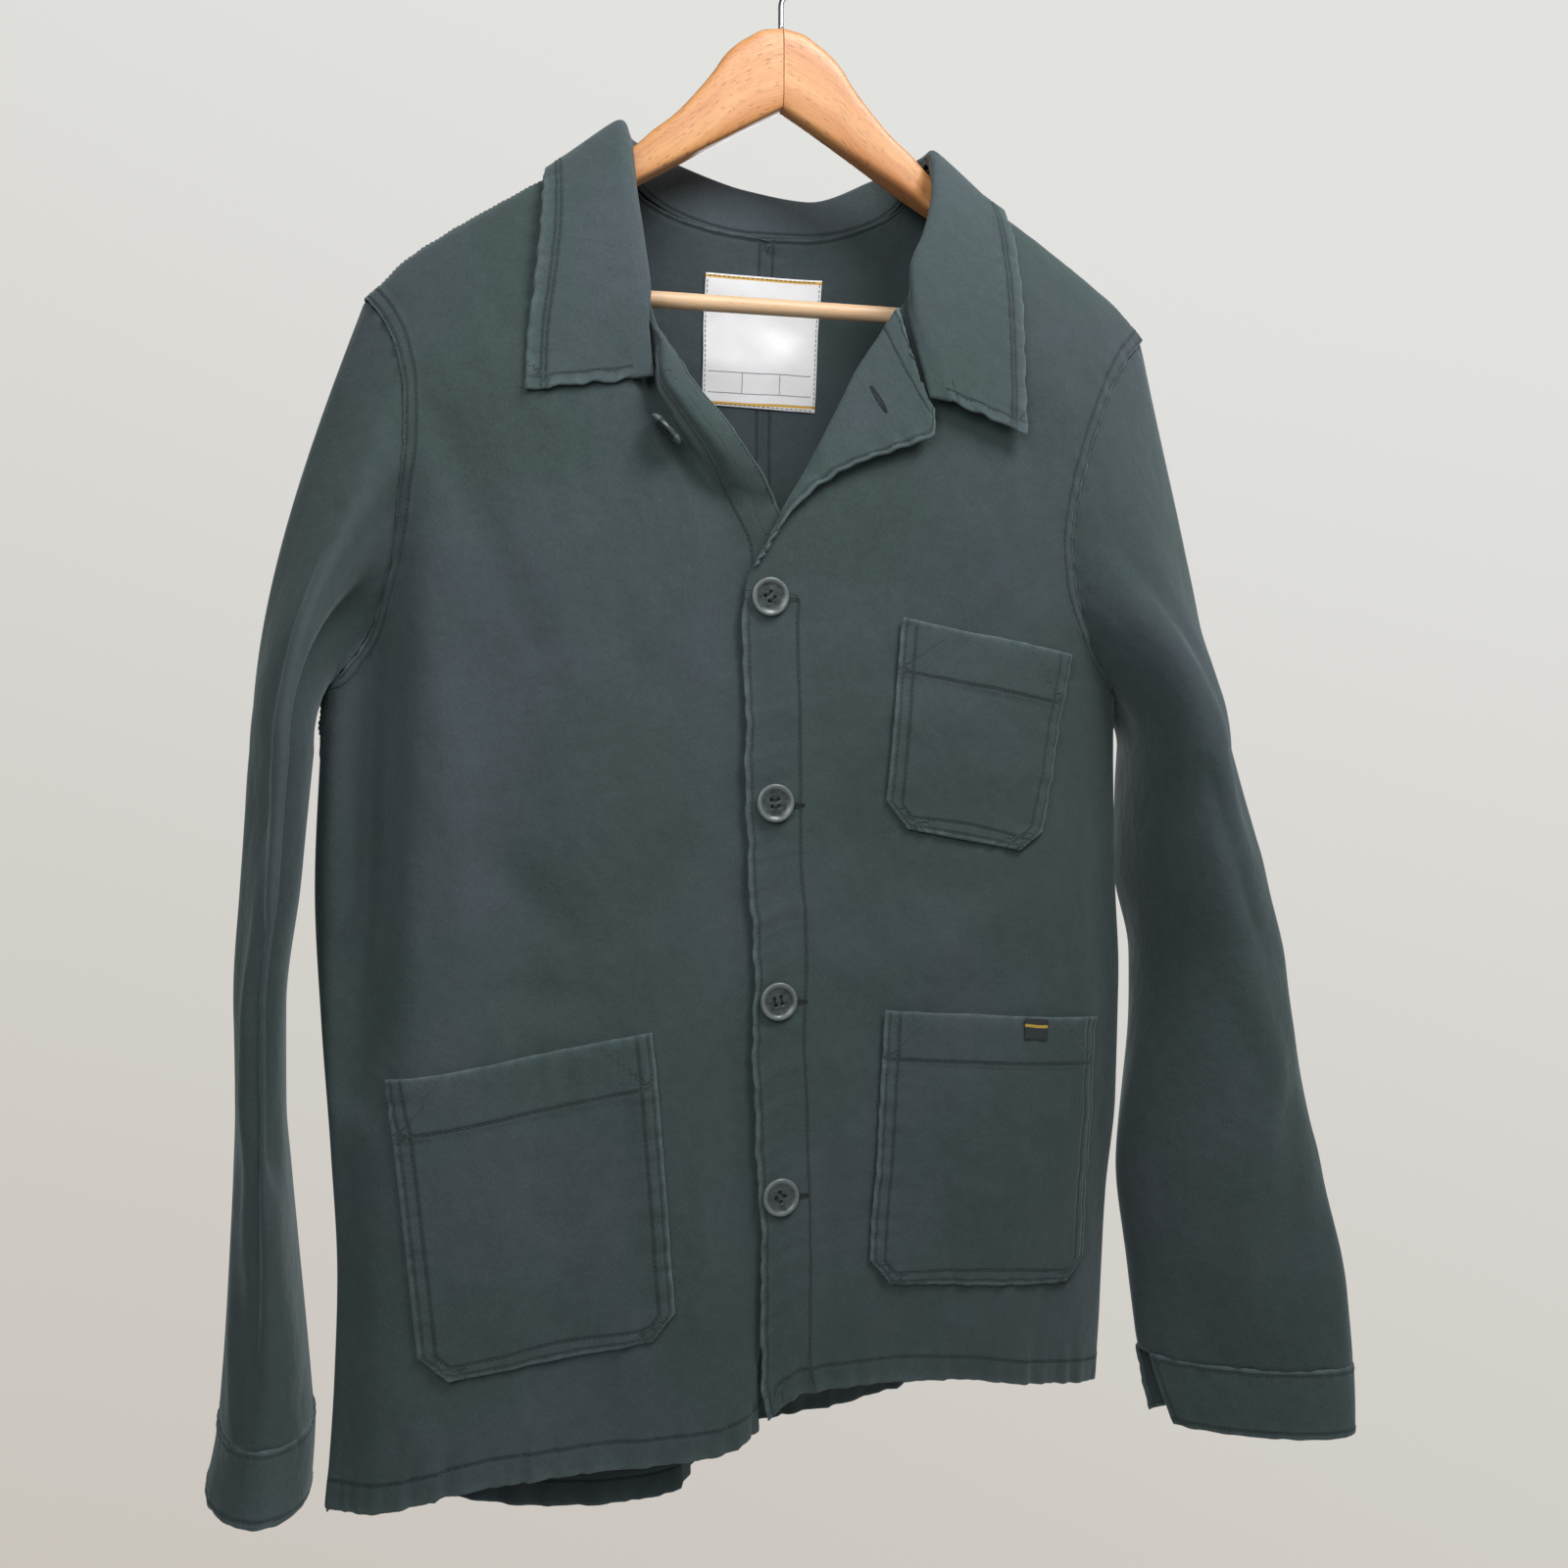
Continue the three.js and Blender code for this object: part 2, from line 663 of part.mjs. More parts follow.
// Sleeves: level sections by height. Half of the section points outwards (out), half forwards (fore).
const sleeves = {
  right: {
    side: -1,
    puff: 0.34,
    front: armholes.frontRight,
    back: armholes.backRight,
    sections: table(
      ["z", "x", "y", "outX", "outY", "foreX", "foreY"],
      [
        [-505, -293, -12, -16, 0, 6, -84],
        [-585, -300, -13, -14.5, 0, 6, -84],
        [-650, -306.5, -14, -13, 0, 6, -80],
        [-705, -307, -14, -13, 0, 6, -76],
        [-745, -306.5, -13, -15, 0, 5, -70],
        [-790, -306, -12, -18, 0, 5, -64],
        [-845, -305.5, -13, -22, 0, 4, -58],
        [-884, -305.5, -16, -25, 0, 3, -55],
        [-930, -311, -22, -28, 0, 5, -53],
      ],
    ),
    cuffSeam: -882,
    cuffDrop: 40,
    slit: 0.66,
    slitTop: 0.01,
    slitBottom: 0.03,
  },
  left: {
    side: 1,
    puff: 0.2,
    front: armholes.frontLeft,
    back: armholes.backLeft,
    sections: table(
      ["z", "x", "y", "outX", "outY", "foreX", "foreY"],
      [
        [-505, 264, 0, 27, 0, -12, -82],
        [-590, 271, -8, 35, -5, -4, -76],
        [-645, 281, -14, 38, -8, -2, -66],
        [-712, 283, -22, 48, -13, -4, -58],
        [-775, 283, -30, 57, -20, -4, -48],
        [-850, 292, -40, 61, -25, -5, -35],
        [-897, 295, -46, 60, -27, -6, -26],
        [-950, 299, -50, 56, -27, -5, -22],
      ],
    ),
    cuffSeam: -896,
    cuffDrop: 43,
    slit: 0.47,
    slitTop: 0.03,
    slitBottom: 0.07,
  },
};

function sectionPoint(sleeve, turn, z) {
  const read = (name) => sleeve.sections.at(name, z);
  const out = Math.cos(2 * Math.PI * turn);
  const fore = Math.sin(2 * Math.PI * turn);
  const x = read("x") + read("outX") * out + read("foreX") * fore;
  const y = read("y") + read("outY") * out + read("foreY") * fore;
  return vec(x, y, z);
}

// A point of the armhole: turn 0 is the shoulder tip, 0.25 the front, 0.5 the underarm.
function armholePoint(sleeve, turn) {
  const front = turn <= 0.5;
  const t = front ? 1 - 2 * turn : 2 * turn - 1;
  const p = point2(front ? sleeve.front : sleeve.back, t);
  return onBody(front ? -1 : 1, p.x, p.z);
}

const sleeveTurns = evenly(24).slice(0, -1);
const headRows = 8;
const armRows = 9;
const headEnd = -508; // where the head of a sleeve runs into its level sections
const sleeveStart = cloth / 2 + seam + 1.4; // how far off the armhole's line a sleeve begins

function sleeveGrid(sleeve) {
  const head = evenly(headRows).map((s) =>
    sleeveTurns.map((turn) => {
      const low = (1 - Math.cos(2 * Math.PI * turn)) / 2;
      const fore = Math.sin(2 * Math.PI * turn);
      const sideways = sleeve.side * lerp(sleeve.puff, 0.8, low);
      const leave = vec(sideways, -0.25 * fore, lerp(-0.9, -0.6, low)).normalize();
      const from = armholePoint(sleeve, turn).addScaledVector(leave, sleeveStart);
      const to = sectionPoint(sleeve, turn, headEnd);
      const reach = from.distanceTo(to);
      const m0 = leave.clone().multiplyScalar(reach * 1.1);
      const m1 = vec(0, 0, -reach * 0.9);
      return from
        .multiplyScalar((1 + 2 * s) * (1 - s) ** 2)
        .addScaledVector(to, s * s * (3 - 2 * s))
        .addScaledVector(m0, s * (1 - s) ** 2)
        .addScaledVector(m1, -s * s * (1 - s));
    }),
  );
  const arm = evenly(armRows)
    .slice(1)
    .map((s) => sleeveTurns.map((turn) => sectionPoint(sleeve, turn, lerp(headEnd, sleeve.cuffSeam, s))));
  return [...head, ...arm];
}

// A cuff: a band with its ends apart at the slit, hung 0.3 mm below the sleeve.
function cuffGrid(sleeve) {
  const top = sleeve.cuffSeam - seam;
  return evenly(4).map((s) => {
    const z = top - s * sleeve.cuffDrop;
    const gap = lerp(sleeve.slitTop, sleeve.slitBottom, s);
    const from = sleeve.slit + gap;
    const to = sleeve.slit + 1 - gap;
    return evenly(24).map((u) => sectionPoint(sleeve, lerp(from, to, u), z));
  });
}
for (const [name, sleeve] of Object.entries(sleeves)) {
  add("sleeve_" + name, wall(sleeveGrid(sleeve), cloth, true), green);
  add("cuff_" + name, wall(cuffGrid(sleeve), doubled), palerGreen);
}

// Patch pockets: corners in (x, z), top left, top right, bottom left and bottom right as seen.
const pockets = {
  pocket_hip_right: { tl: [-236, -690], tr: [-91, -669], bl: [-220, -855], br: [-77, -846], hem: 33 },
  pocket_hip_left: { tl: [53, -664], tr: [198, -678], bl: [43, -829], br: [194, -849], hem: 31 },
  pocket_chest: { tl: [62, -429], tr: [175, -449], bl: [53, -552], br: [153, -572], hem: 33 },
};

// A point of a pocket at (u, v) from its top left corner, with its bottom corners cut.
function pocketPoint(pocket, u, v, lift) {
  const { tl, tr, bl, br } = pocket;
  const wide = Math.hypot(br[0] - bl[0], br[1] - bl[1]);
  const tall = Math.hypot(bl[0] - tl[0], bl[1] - tl[1]);
  const cut = clamp((v * tall - (tall - chamfer)) / chamfer, 0, 1) * (chamfer / wide);
  const s = lerp(cut, 1 - cut, u);
  const x = (1 - v) * lerp(tl[0], tr[0], s) + v * lerp(bl[0], br[0], s);
  const z = (1 - v) * lerp(tl[1], tr[1], s) + v * lerp(bl[1], br[1], s);
  return liftOff(x, z, lift);
}

// The point of the front at (x, z), moved out along the panel's normal.
function liftOff(x, z, lift) {
  const step = 2;
  const here = onBody(-1, x, z);
  const across = onBody(-1, x + step, z).sub(onBody(-1, x - step, z));
  const along = onBody(-1, x, z + step).sub(onBody(-1, x, z - step));
  return here.addScaledVector(across.cross(along).normalize(), lift);
}

for (const [name, pocket] of Object.entries(pockets)) {
  const tall = Math.hypot(pocket.bl[0] - pocket.tl[0], pocket.bl[1] - pocket.tl[1]);
  const hemEnd = pocket.hem / tall;
  const cutStart = 1 - chamfer / tall;
  const fallen = [0.3, 0.42, 0.54, 0.66, 0.78];
  const downs = [0, hemEnd / 2, hemEnd, hemEnd + 0.02, ...fallen, cutStart, (cutStart + 1) / 2, 1];
  const grid = downs.map((v) => {
    const hem = v <= hemEnd ? 0.4 : 0;
    return evenly(9).map((u) => pocketPoint(pocket, u, v, pocketLift + hem));
  });
  add(name, wall(grid, (v) => (v <= 2 / 11 ? cloth + 0.8 : cloth)), green);
}

// A small bare tab sewn over the top of the wearer's left hip pocket.
const tab = { x0: 143, x1: 159, z0: -673, z1: -686, thickness: 0.8 };
const tabLift = pocketLift + 0.4 + (cloth + 0.8) / 2 + seam + tab.thickness / 2;
const tabGrid = evenly(3).map((v) =>
  evenly(3).map((u) => liftOff(lerp(tab.x0, tab.x1, u), lerp(tab.z0, tab.z1, v) - 2 * u, tabLift)),
);
add("pocket_tab", wall(tabGrid, tab.thickness), horn);

// Neck label on the inside of the back: four corners as seen, top left first.
const label = { tl: [-39, -207], tr: [37, -207], bl: [-40, -288], br: [34, -290], thickness: 0.8 };
const labelGrid = evenly(4).map((v) =>
  evenly(4).map((u) => {
    const x = lerp(lerp(label.tl[0], label.tr[0], u), lerp(label.bl[0], label.br[0], u), v);
    const z = lerp(lerp(label.tl[1], label.tr[1], u), lerp(label.bl[1], label.br[1], u), v);
    return vec(x, bodyY(1, x, z) - (cloth + label.thickness) / 2 - seam - 0.2, z);
  }),
);
add("neck_label", wall(labelGrid, label.thickness), satin);

// Buttons: four on the placket, and the neck button in the crease of the open right front.
const button = { radius: 11.3, rim: 1.6, height: 3.4, dish: 1.1 };
function buttonGeometry() {
  const { radius, rim, height, dish } = button;
  const profile = [
    [0, 0],
    [radius - 2.4, 0],
    [radius, height * 0.55],
    [radius - rim / 2, height],
    [radius - rim - 1.6, height - dish],
    [0, height - dish - 0.3],
  ];
  return new THREE.LatheGeometry(profile.map(([r, h]) => new THREE.Vector2(r, h)), 18);
}
const buttonPlaces = [
  { x: -19.5, z: -418 },
  { x: -16.5, z: -538.5 },
  { x: -14.5, z: -655 },
  { x: -13.5, z: -771 },
];
const buttonTurn = new THREE.Euler(Math.PI, 0, 0);
buttonPlaces.forEach(({ x, z }, i) => {
  const mesh = add("button_" + (i + 1), buttonGeometry(), horn);
  mesh.position.copy(liftOff(x, z, cloth / 2 + seam + 0.7));
  mesh.rotation.copy(buttonTurn);
});
const neckButton = add("button_5", buttonGeometry(), horn);
neckButton.position.set(-79.8, -58.2, -323.7);
neckButton.quaternion.setFromUnitVectors(vec(0, 1, 0), vec(-0.69, 0.13, -0.69).normalize());

// Hanger: two arms that meet in the middle, a bar between their ends and a wire hook.
const arm = table(
  ["x", "top", "bottom", "half"],
  [
    [0.2, -69.8, -118, 7.5],
    [12, -71.8, -124.6, 7.7],
    [20, -76.3, -129.2, 7.9],
    [28, -81.8, -133.9, 8.1],
    [36, -89.6, -138.6, 8.4],
    [43, -100, -142.7, 8.7],
    [53, -112.6, -148.5, 9.1],
    [68, -129, -157.3, 9.8],
    [80, -138.7, -164.3, 10],
    [92, -149.5, -171.3, 9],
    [105, -157.2, -178.4, 9],
    [143, -179, -202, 9],
    [176, -199.5, -222, 9],
    [197.4, -212.7, -231.5, 9],
    [198.3, -213.2, -246, 9],
    [208, -222, -248, 8.6],
    [214, -227.5, -246.5, 7],
    [217, -233, -241, 4],
  ],
);
const armStations = [0.2, 8, 14, 20, 28, 36, 43, 53, 68, 80, 92, 105, 143, 176, 197.4, 198.3, 208, 214, 217];
const armCorner = 0.42; // how much of the section's half is rounded at its corners

function armGeometry(side) {
  const ring = 12;
  const positions = [];
  for (const x of armStations) {
    const top = arm.at("top", x);
    const bottom = arm.at("bottom", x);
    const half = arm.at("half", x);
    for (let k = 0; k < ring; k++) {
      const angle = (2 * Math.PI * (k + 0.5)) / ring;
      const soft = (t) => Math.sign(t) * Math.abs(t) ** armCorner;
      positions.push(side * x, half * soft(Math.cos(angle)), lerp(bottom, top, (1 + soft(Math.sin(angle))) / 2));
    }
  }
  const index = [];
  const at = (j, k) => j * ring + (k % ring);
  for (let j = 0; j < armStations.length - 1; j++) {
    for (let k = 0; k < ring; k++) {
      index.push(at(j, k), at(j, k + 1), at(j + 1, k + 1), at(j, k), at(j + 1, k + 1), at(j + 1, k));
    }
  }
  const last = armStations.length - 1;
  for (let k = 1; k < ring - 1; k++) {
    index.push(at(0, 0), at(0, k + 1), at(0, k));
    index.push(at(last, 0), at(last, k), at(last, k + 1));
  }
  return facingOut(positions, index);
}
add("hanger_arm_right", armGeometry(-1), beech);
add("hanger_arm_left", armGeometry(1), beech);

const bar = { radius: 5, halfLength: 197, z: -237 };
const barGeometry = new THREE.CylinderGeometry(bar.radius, bar.radius, 2 * bar.halfLength, 16);
const barMesh = add("hanger_bar", barGeometry, paleBeech);
barMesh.position.set(0, 0, bar.z);
barMesh.rotation.z = Math.PI / 2;

// The hook's wire runs up from the wood, round its bend and down to a bare end.
const wire = 1.7;
const bend = 23; // inside radius of the hook
const hookRing = bend + wire;
const hookPath = new THREE.CurvePath();
const hookFoot = vec(0, 0, -69.3);
const bendStart = -62 * (Math.PI / 180);
const ringPoint = (a) => vec(hookRing * Math.cos(a), 0, -bend + hookRing * Math.sin(a));
const ringStart = ringPoint(bendStart);
hookPath.add(new THREE.LineCurve3(hookFoot, vec(0, 0, -56)));
const intoBend = ringStart.clone().add(vec(-6, 0, -3.2));
hookPath.add(new THREE.CubicBezierCurve3(vec(0, 0, -56), vec(0, 0, -48), intoBend, ringStart));
class Bend extends THREE.Curve {
  getPoint(t) {
    return ringPoint(lerp(bendStart, (200 * Math.PI) / 180, t));
  }
}
hookPath.add(new Bend());
const wireSection = new THREE.Shape();
wireSection.absarc(0, 0, wire, 0, 2 * Math.PI);
add(
  "hanger_hook",
  new THREE.ExtrudeGeometry(wireSection, { steps: 32, bevelEnabled: false, extrudePath: hookPath, curveSegments: 4 }),
  steel,
);

export default root;
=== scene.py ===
# A chore jacket on a wooden hanger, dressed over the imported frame.
# Lengths in the tables are millimetres in the frame's own axes; pieces are made in metres.
import bpy
import math
import numpy as np
from mathutils import Matrix, Vector


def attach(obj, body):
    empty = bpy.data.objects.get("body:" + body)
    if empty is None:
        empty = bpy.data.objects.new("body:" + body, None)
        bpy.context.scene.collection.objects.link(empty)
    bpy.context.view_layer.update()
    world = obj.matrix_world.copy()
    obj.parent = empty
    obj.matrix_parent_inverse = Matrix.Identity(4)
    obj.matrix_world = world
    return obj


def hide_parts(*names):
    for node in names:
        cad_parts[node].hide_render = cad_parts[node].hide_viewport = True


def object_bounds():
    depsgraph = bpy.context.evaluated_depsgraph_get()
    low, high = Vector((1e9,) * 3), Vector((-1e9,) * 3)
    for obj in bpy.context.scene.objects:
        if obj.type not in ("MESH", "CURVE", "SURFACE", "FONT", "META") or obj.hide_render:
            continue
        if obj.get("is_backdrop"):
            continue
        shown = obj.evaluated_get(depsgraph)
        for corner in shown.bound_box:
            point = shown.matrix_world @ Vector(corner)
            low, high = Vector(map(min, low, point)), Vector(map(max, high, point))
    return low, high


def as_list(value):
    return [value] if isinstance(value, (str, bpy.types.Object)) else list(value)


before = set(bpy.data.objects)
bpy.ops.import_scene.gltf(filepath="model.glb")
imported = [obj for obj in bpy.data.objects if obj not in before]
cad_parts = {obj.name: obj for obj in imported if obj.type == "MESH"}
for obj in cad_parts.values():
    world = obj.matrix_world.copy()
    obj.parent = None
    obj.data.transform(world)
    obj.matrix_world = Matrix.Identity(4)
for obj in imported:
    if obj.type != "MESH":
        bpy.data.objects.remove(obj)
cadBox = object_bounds()
print("frame loaded")

jacket = {
    "cloth": 1.6,  # wall of one layer
    "doubled": 2.4,  # collar, lapel and cuffs
    "roundWidth": 100,  # reach of the body's rounding from its sides
    "roundDrop": 120,  # and from the shoulder down
    "pocketLift": 2.8,  # middle of a patch above the middle of the front
    "hemZ": {"right": -933.0, "left": -927.0, "back": -930.0},
}


# Smooth curves through a table, read by the name of a column.
def curves(names, rows):
    rows = sorted(rows)
    keys = np.array([row[0] for row in rows], float)
    columns = {}
    for c, name in enumerate(names):
        values = np.array([row[c] for row in rows], float)
        rise = np.diff(values) / np.diff(keys)
        slope = np.zeros(len(keys))
        slope[0] = rise[0]
        slope[-1] = rise[-1]
        product = rise[:-1] * rise[1:]
        total = rise[:-1] + rise[1:]
        slope[1:-1] = np.where(product > 0, 2 * product / np.where(total == 0, 1, total), 0)
        columns[name] = (values, slope)

    def read(name, key):
        values, slope = columns[name]
        k = np.clip(key, keys[0], keys[-1])
        i = np.clip(np.searchsorted(keys, k) - 1, 0, len(keys) - 2)
        span = keys[i + 1] - keys[i]
        t = (k - keys[i]) / span
        start = (1 + 2 * t) * (1 - t) ** 2 * values[i] + span * t * (1 - t) ** 2 * slope[i]
        end = t * t * (3 - 2 * t) * values[i + 1] - span * t * t * (1 - t) * slope[i + 1]
        return start + end

    return read


body = curves(["z", "right", "left", "rightY", "leftY", "front", "back"], [
    [-140, -262, 256, 0, 0, 40, 44], [-248, -263, 248, 0, 0, 43, 47], [-320, -269, 236, -4, 2, 47, 51],
    [-475, -271, 223, -11, 6, 47, 51], [-590, -276, 226, -14, 8, 46, 49],
    [-660, -273, 230, -20, 10, 45, 49], [-735, -268, 230, -28, 13, 43, 49],
    [-800, -265, 225, -33, 16, 41, 49], [-860, -267, 223, -37, 18, 39, 49],
    [-940, -273, 220, -44, 20, 36, 49],
])
shoulder = curves(["x", "z"], [
    [0, -128], [94, -146], [105, -152], [143, -172.5], [176, -193], [204, -211.5], [224, -226.5],
    [240, -243.5], [246, -249], [248, -251],
])
armholes = {
    "frontRight": curves(["t", "x", "z"], [
        [0, -271, -475], [0.07, -262, -465], [0.15, -250, -449], [0.25, -240, -428], [0.37, -232, -400],
        [0.5, -228.5, -366], [0.63, -226, -335], [0.75, -225.5, -308], [0.86, -229, -284],
        [0.94, -236, -265], [1, -246, -249],
    ]),
    "frontLeft": curves(["t", "x", "z"], [
        [0, 223, -475], [0.07, 212, -466], [0.15, 200, -452], [0.25, 188, -432], [0.37, 179, -407],
        [0.5, 176, -380], [0.63, 180, -350], [0.75, 188, -322], [0.86, 200, -292], [0.94, 218, -264],
        [1, 240, -243.5],
    ]),
    "backRight": curves(["t", "x", "z"], [
        [0, -271, -475], [0.1, -256, -457], [0.25, -238, -425], [0.45, -228, -375], [0.65, -226, -325],
        [0.82, -230, -286], [0.93, -238, -262], [1, -246, -249],
    ]),
    "backLeft": curves(["t", "x", "z"], [
        [0, 223, -475], [0.1, 208, -460], [0.25, 196, -432], [0.45, 190, -380], [0.65, 194, -328],
        [0.82, 206, -286], [0.93, 224, -260], [1, 240, -243.5],
    ]),
}
necklines = {
    "backRight": curves(["t", "x", "z"], [
        [0, -96, -147.5], [0.25, -88, -163], [0.55, -62, -176], [0.8, -30, -182], [1, 0, -184],
    ]),
    "backLeft": curves(["t", "x", "z"], [
        [0, 94, -147], [0.25, 84, -163], [0.55, 58, -176], [0.8, 28, -183], [1, 0, -184],
    ]),
}
frontHem = curves(["x", "z"], [
    [-271, -928], [-244, -926], [-213, -920], [-180, -916], [-130, -917], [-85, -919], [-50, -919],
    [-24, -909], [-18, -906], [-8, -898], [3, -894], [40, -894], [105, -900], [160, -912], [222, -927],
])
backHem = curves(["x", "z"], [
    [-271, -932], [-220, -942], [-187, -953], [-131, -965], [-82, -969], [-50, -967], [0, -964],
    [60, -962], [110, -954], [146, -946], [222, -926],
])
leftEdge = curves(["z", "x"], [
    [-906, -20], [-885, -23.5], [-826, -24], [-738, -27], [-689, -29.8], [-650, -28], [-613, -29],
    [-584, -31.8], [-543, -32.7], [-482, -33.8], [-440, -35], [-411, -33], [-399, -28], [-385, -18.5],
    [-365, -9], [-351, -1], [-326, 13], [-306, 23.5], [-283, 35], [-265, 48], [-246, 62], [-228, 74],
    [-206, 86], [-178, 94], [-147, 94],
])
rightEdge = curves(["z", "creaseX", "creaseIn", "ridgeX", "ridgeOut", "edgeX", "edgeOut"], [
    [-147.5, -102, 0, -99, 0, -96, 0], [-178, -103, 0, -100, 0, -97, 0], [-214, -100, 0, -97, 0, -94, 0],
    [-246, -95, 0, -92, 0, -89, 0], [-262, -90.5, 2, -88, 2, -85, 1], [-276, -86, 6, -82, 8, -77, 3],
    [-294, -85, 11, -83.5, 17, -67, 11], [-312, -76, 12, -74, 19, -50, 12],
    [-329, -66, 10, -60, 16, -36, 9], [-346, -57, 6, -46, 7, -22, 1], [-362, -49, 5, -35, -3, -12, -7.6],
    [-390, -42, 5, -22, -5.8, 2, -6.4], [-430, -40, 5, -18, -5, 4, -5.8],
    [-600, -39, 5, -16, -5, 6, -5.8], [-770, -38, 5, -16, -5, 4, -6], [-820, -40, 3, -25, -5, -12, -8],
    [-870, -46, 1, -28, -4, -22, -14], [-915, -48, 0, -27, -4, -25, -20],
])
lapel = curves(["t", "rollX", "rollZ", "freeX", "freeZ", "rise"], [
    [0, -24, -394, -29, -401, 1], [0.08, -18, -384, -22, -390, 2.2], [0.2, -9, -366, -10, -372, 3.2],
    [0.33, 0, -351, 6, -355, 4.5], [0.48, 13, -327, 28, -341, 6], [0.62, 24, -306, 52, -332, 7],
    [0.78, 36, -283, 70, -325, 8], [0.86, 48, -265, 79, -320, 8], [0.93, 55, -254, 79, -309, 7],
    [1, 61, -245, 73, -299, 6],
])
collar = curves(["t", "sx", "sy", "sz", "rx", "ry", "rz", "ex", "ey", "ez"], [
    [0, -88, -51, -294, -104, -52, -297, -159, -51, -306],
    [0.06, -90.5, -51, -261, -96, -53.5, -262, -157.5, -49, -275],
    [0.13, -88.5, -46, -243, -97, -50.5, -238, -153.5, -46, -246],
    [0.2, -90.8, -38, -214, -100.5, -45.5, -210, -149, -38, -212],
    [0.27, -93.6, -25, -177, -103, -35, -175, -146, -22, -183],
    [0.34, -94, -3, -144, -101, -4, -136, -141, 2, -166],
    [0.4, -87, 25, -158, -87, 27, -136, -122, 42, -187],
    [0.45, -61, 37, -173, -61, 42, -141, -82, 57, -205],
    [0.49, -12, 42, -182, -12, 49, -152, -12, 60, -213], [0.53, 30, 41, -181, 30, 47, -157, 40, 60, -211],
    [0.57, 66, 34, -173, 70, 39, -143, 86, 54, -203], [0.61, 86, 25, -158, 88, 26, -137, 122, 42, -189],
    [0.66, 92.5, -3, -143, 97, -4, -137, 138, 1, -167],
    [0.73, 91, -24, -174, 90, -32, -169, 141, -22, -188],
    [0.8, 82.2, -36, -205, 80, -45, -200, 140.5, -38, -220],
    [0.87, 69.8, -43.5, -231, 71.5, -51, -222, 139.5, -47, -252],
    [0.94, 66, -50.5, -248, 75, -54.5, -249, 139, -51, -284],
    [1, 77, -57, -299, 93, -58, -302, 138, -56, -318],
])
# Folds and finer creases of the body: from (x, z), to (x, z), width, height.
panelCreases = {
    "frontRight": [
        [-128, -330, -140, -600, 34, 4], [-196, -420, -150, -690, 32, -5],
        [-148, -690, -150, -890, 28, -4], [-230, -640, -232, -880, 28, 3], [-92, -540, -84, -840, 28, 3],
        [-216, -300, -150, -470, 13, -3.5], [-240, -366, -253, -700, 16, -44],
        [-263, -620, -268, -930, 13, -22], [-205, -430, -196, -640, 14, 3.8],
        [-120, -430, -60, -500, 14, -2.2], [-70, -560, -120, -640, 16, -2.6],
        [-190, -560, -130, -620, 12, -2.1], [-200, -640, -110, -655, 12, -2.2],
        [-110, -700, -96, -830, 12, -1.9], [-176, -740, -170, -860, 13, 2.2],
        [-60, -720, -56, -900, 13, 2.6], [-225, -870, -214, -915, 12, 2.6],
        [-120, -860, -112, -916, 14, -2.6],
    ],
    "frontLeft": [
        [30, -500, 32, -720, 24, -4], [176, -470, 200, -640, 24, -4], [150, -590, 60, -650, 24, 3],
        [112, -680, 116, -880, 36, 3], [60, -470, 130, -430, 12, -1.9], [28, -560, 100, -600, 14, -2.1],
        [100, -580, 170, -560, 12, 1.9], [190, -450, 176, -560, 12, -3.2], [208, -500, 214, -860, 15, -7],
        [20, -620, 60, -660, 14, 2.1], [12, -700, 20, -860, 12, -2.2], [80, -700, 92, -830, 14, -2.1],
        [150, -700, 140, -820, 14, 2.1], [70, -840, 66, -895, 13, -2.6], [140, -850, 150, -910, 13, 2.6],
        [120, -240, 150, -330, 16, -2.2],
    ],
    "back": [
        [-190, -330, -90, -520, 30, -6], [176, -330, 90, -540, 30, -6], [-150, -560, -140, -900, 30, 6],
        [120, -600, 140, -900, 34, 7], [-70, -230, 60, -238, 12, 1.9], [-210, -360, -160, -470, 13, -3.8],
        [196, -360, 150, -480, 13, -3.8], [-60, -420, -72, -700, 16, -3.5],
        [50, -460, 64, -760, 16, -3.5], [-215, -560, -205, -840, 12, 3.5],
        [190, -560, 186, -840, 12, 3.5], [-120, -640, -40, -690, 14, 2.9], [30, -560, 120, -590, 14, 2.9],
        [10, -700, 20, -930, 18, 3.8],
    ],
}


def mix(a, b, t):
    return a + (b - a) * t


def smoothStep(x, low, high):
    t = np.clip((x - low) / (high - low), 0, 1)
    return t * t * (3 - 2 * t)


def quarter(t):
    return np.sqrt(1 - (1 - np.clip(t, 0, 1)) ** 2)


# Smooth noise, about -1 to 1, with bumps of the given size.
def ripple(x, z, size, seed):
    random = np.random.RandomState(seed)
    total = 0
    for _ in range(7):
        angle = random.uniform(0, 2 * math.pi)
        wave = 2 * math.pi / (size * random.uniform(0.7, 1.7))
        phase = random.uniform(0, 2 * math.pi)
        total = total + np.sin(wave * (x * math.cos(angle) + z * math.sin(angle)) + phase)
    return total / 3.5


# A wobble along a line, such as the puckers of a seam.
def wobble(s, size, seed):
    return ripple(s, s * 0, size, seed)


def creaseHeight(lines, x, z):
    total = x * 0.0
    for x0, z0, x1, z1, width, height in lines:
        dx = x1 - x0
        dz = z1 - z0
        along = ((x - x0) * dx + (z - z0) * dz) / (dx * dx + dz * dz)
        near = np.clip(along, 0, 1)
        away = np.hypot(x - x0 - near * dx, z - z0 - near * dz)
        ends = np.sin(math.pi * np.clip(0.12 + 0.76 * along, 0, 1))  # runs out a little past both ends
        total = total + height * ends * np.exp(-((away / width) ** 2))
    return total


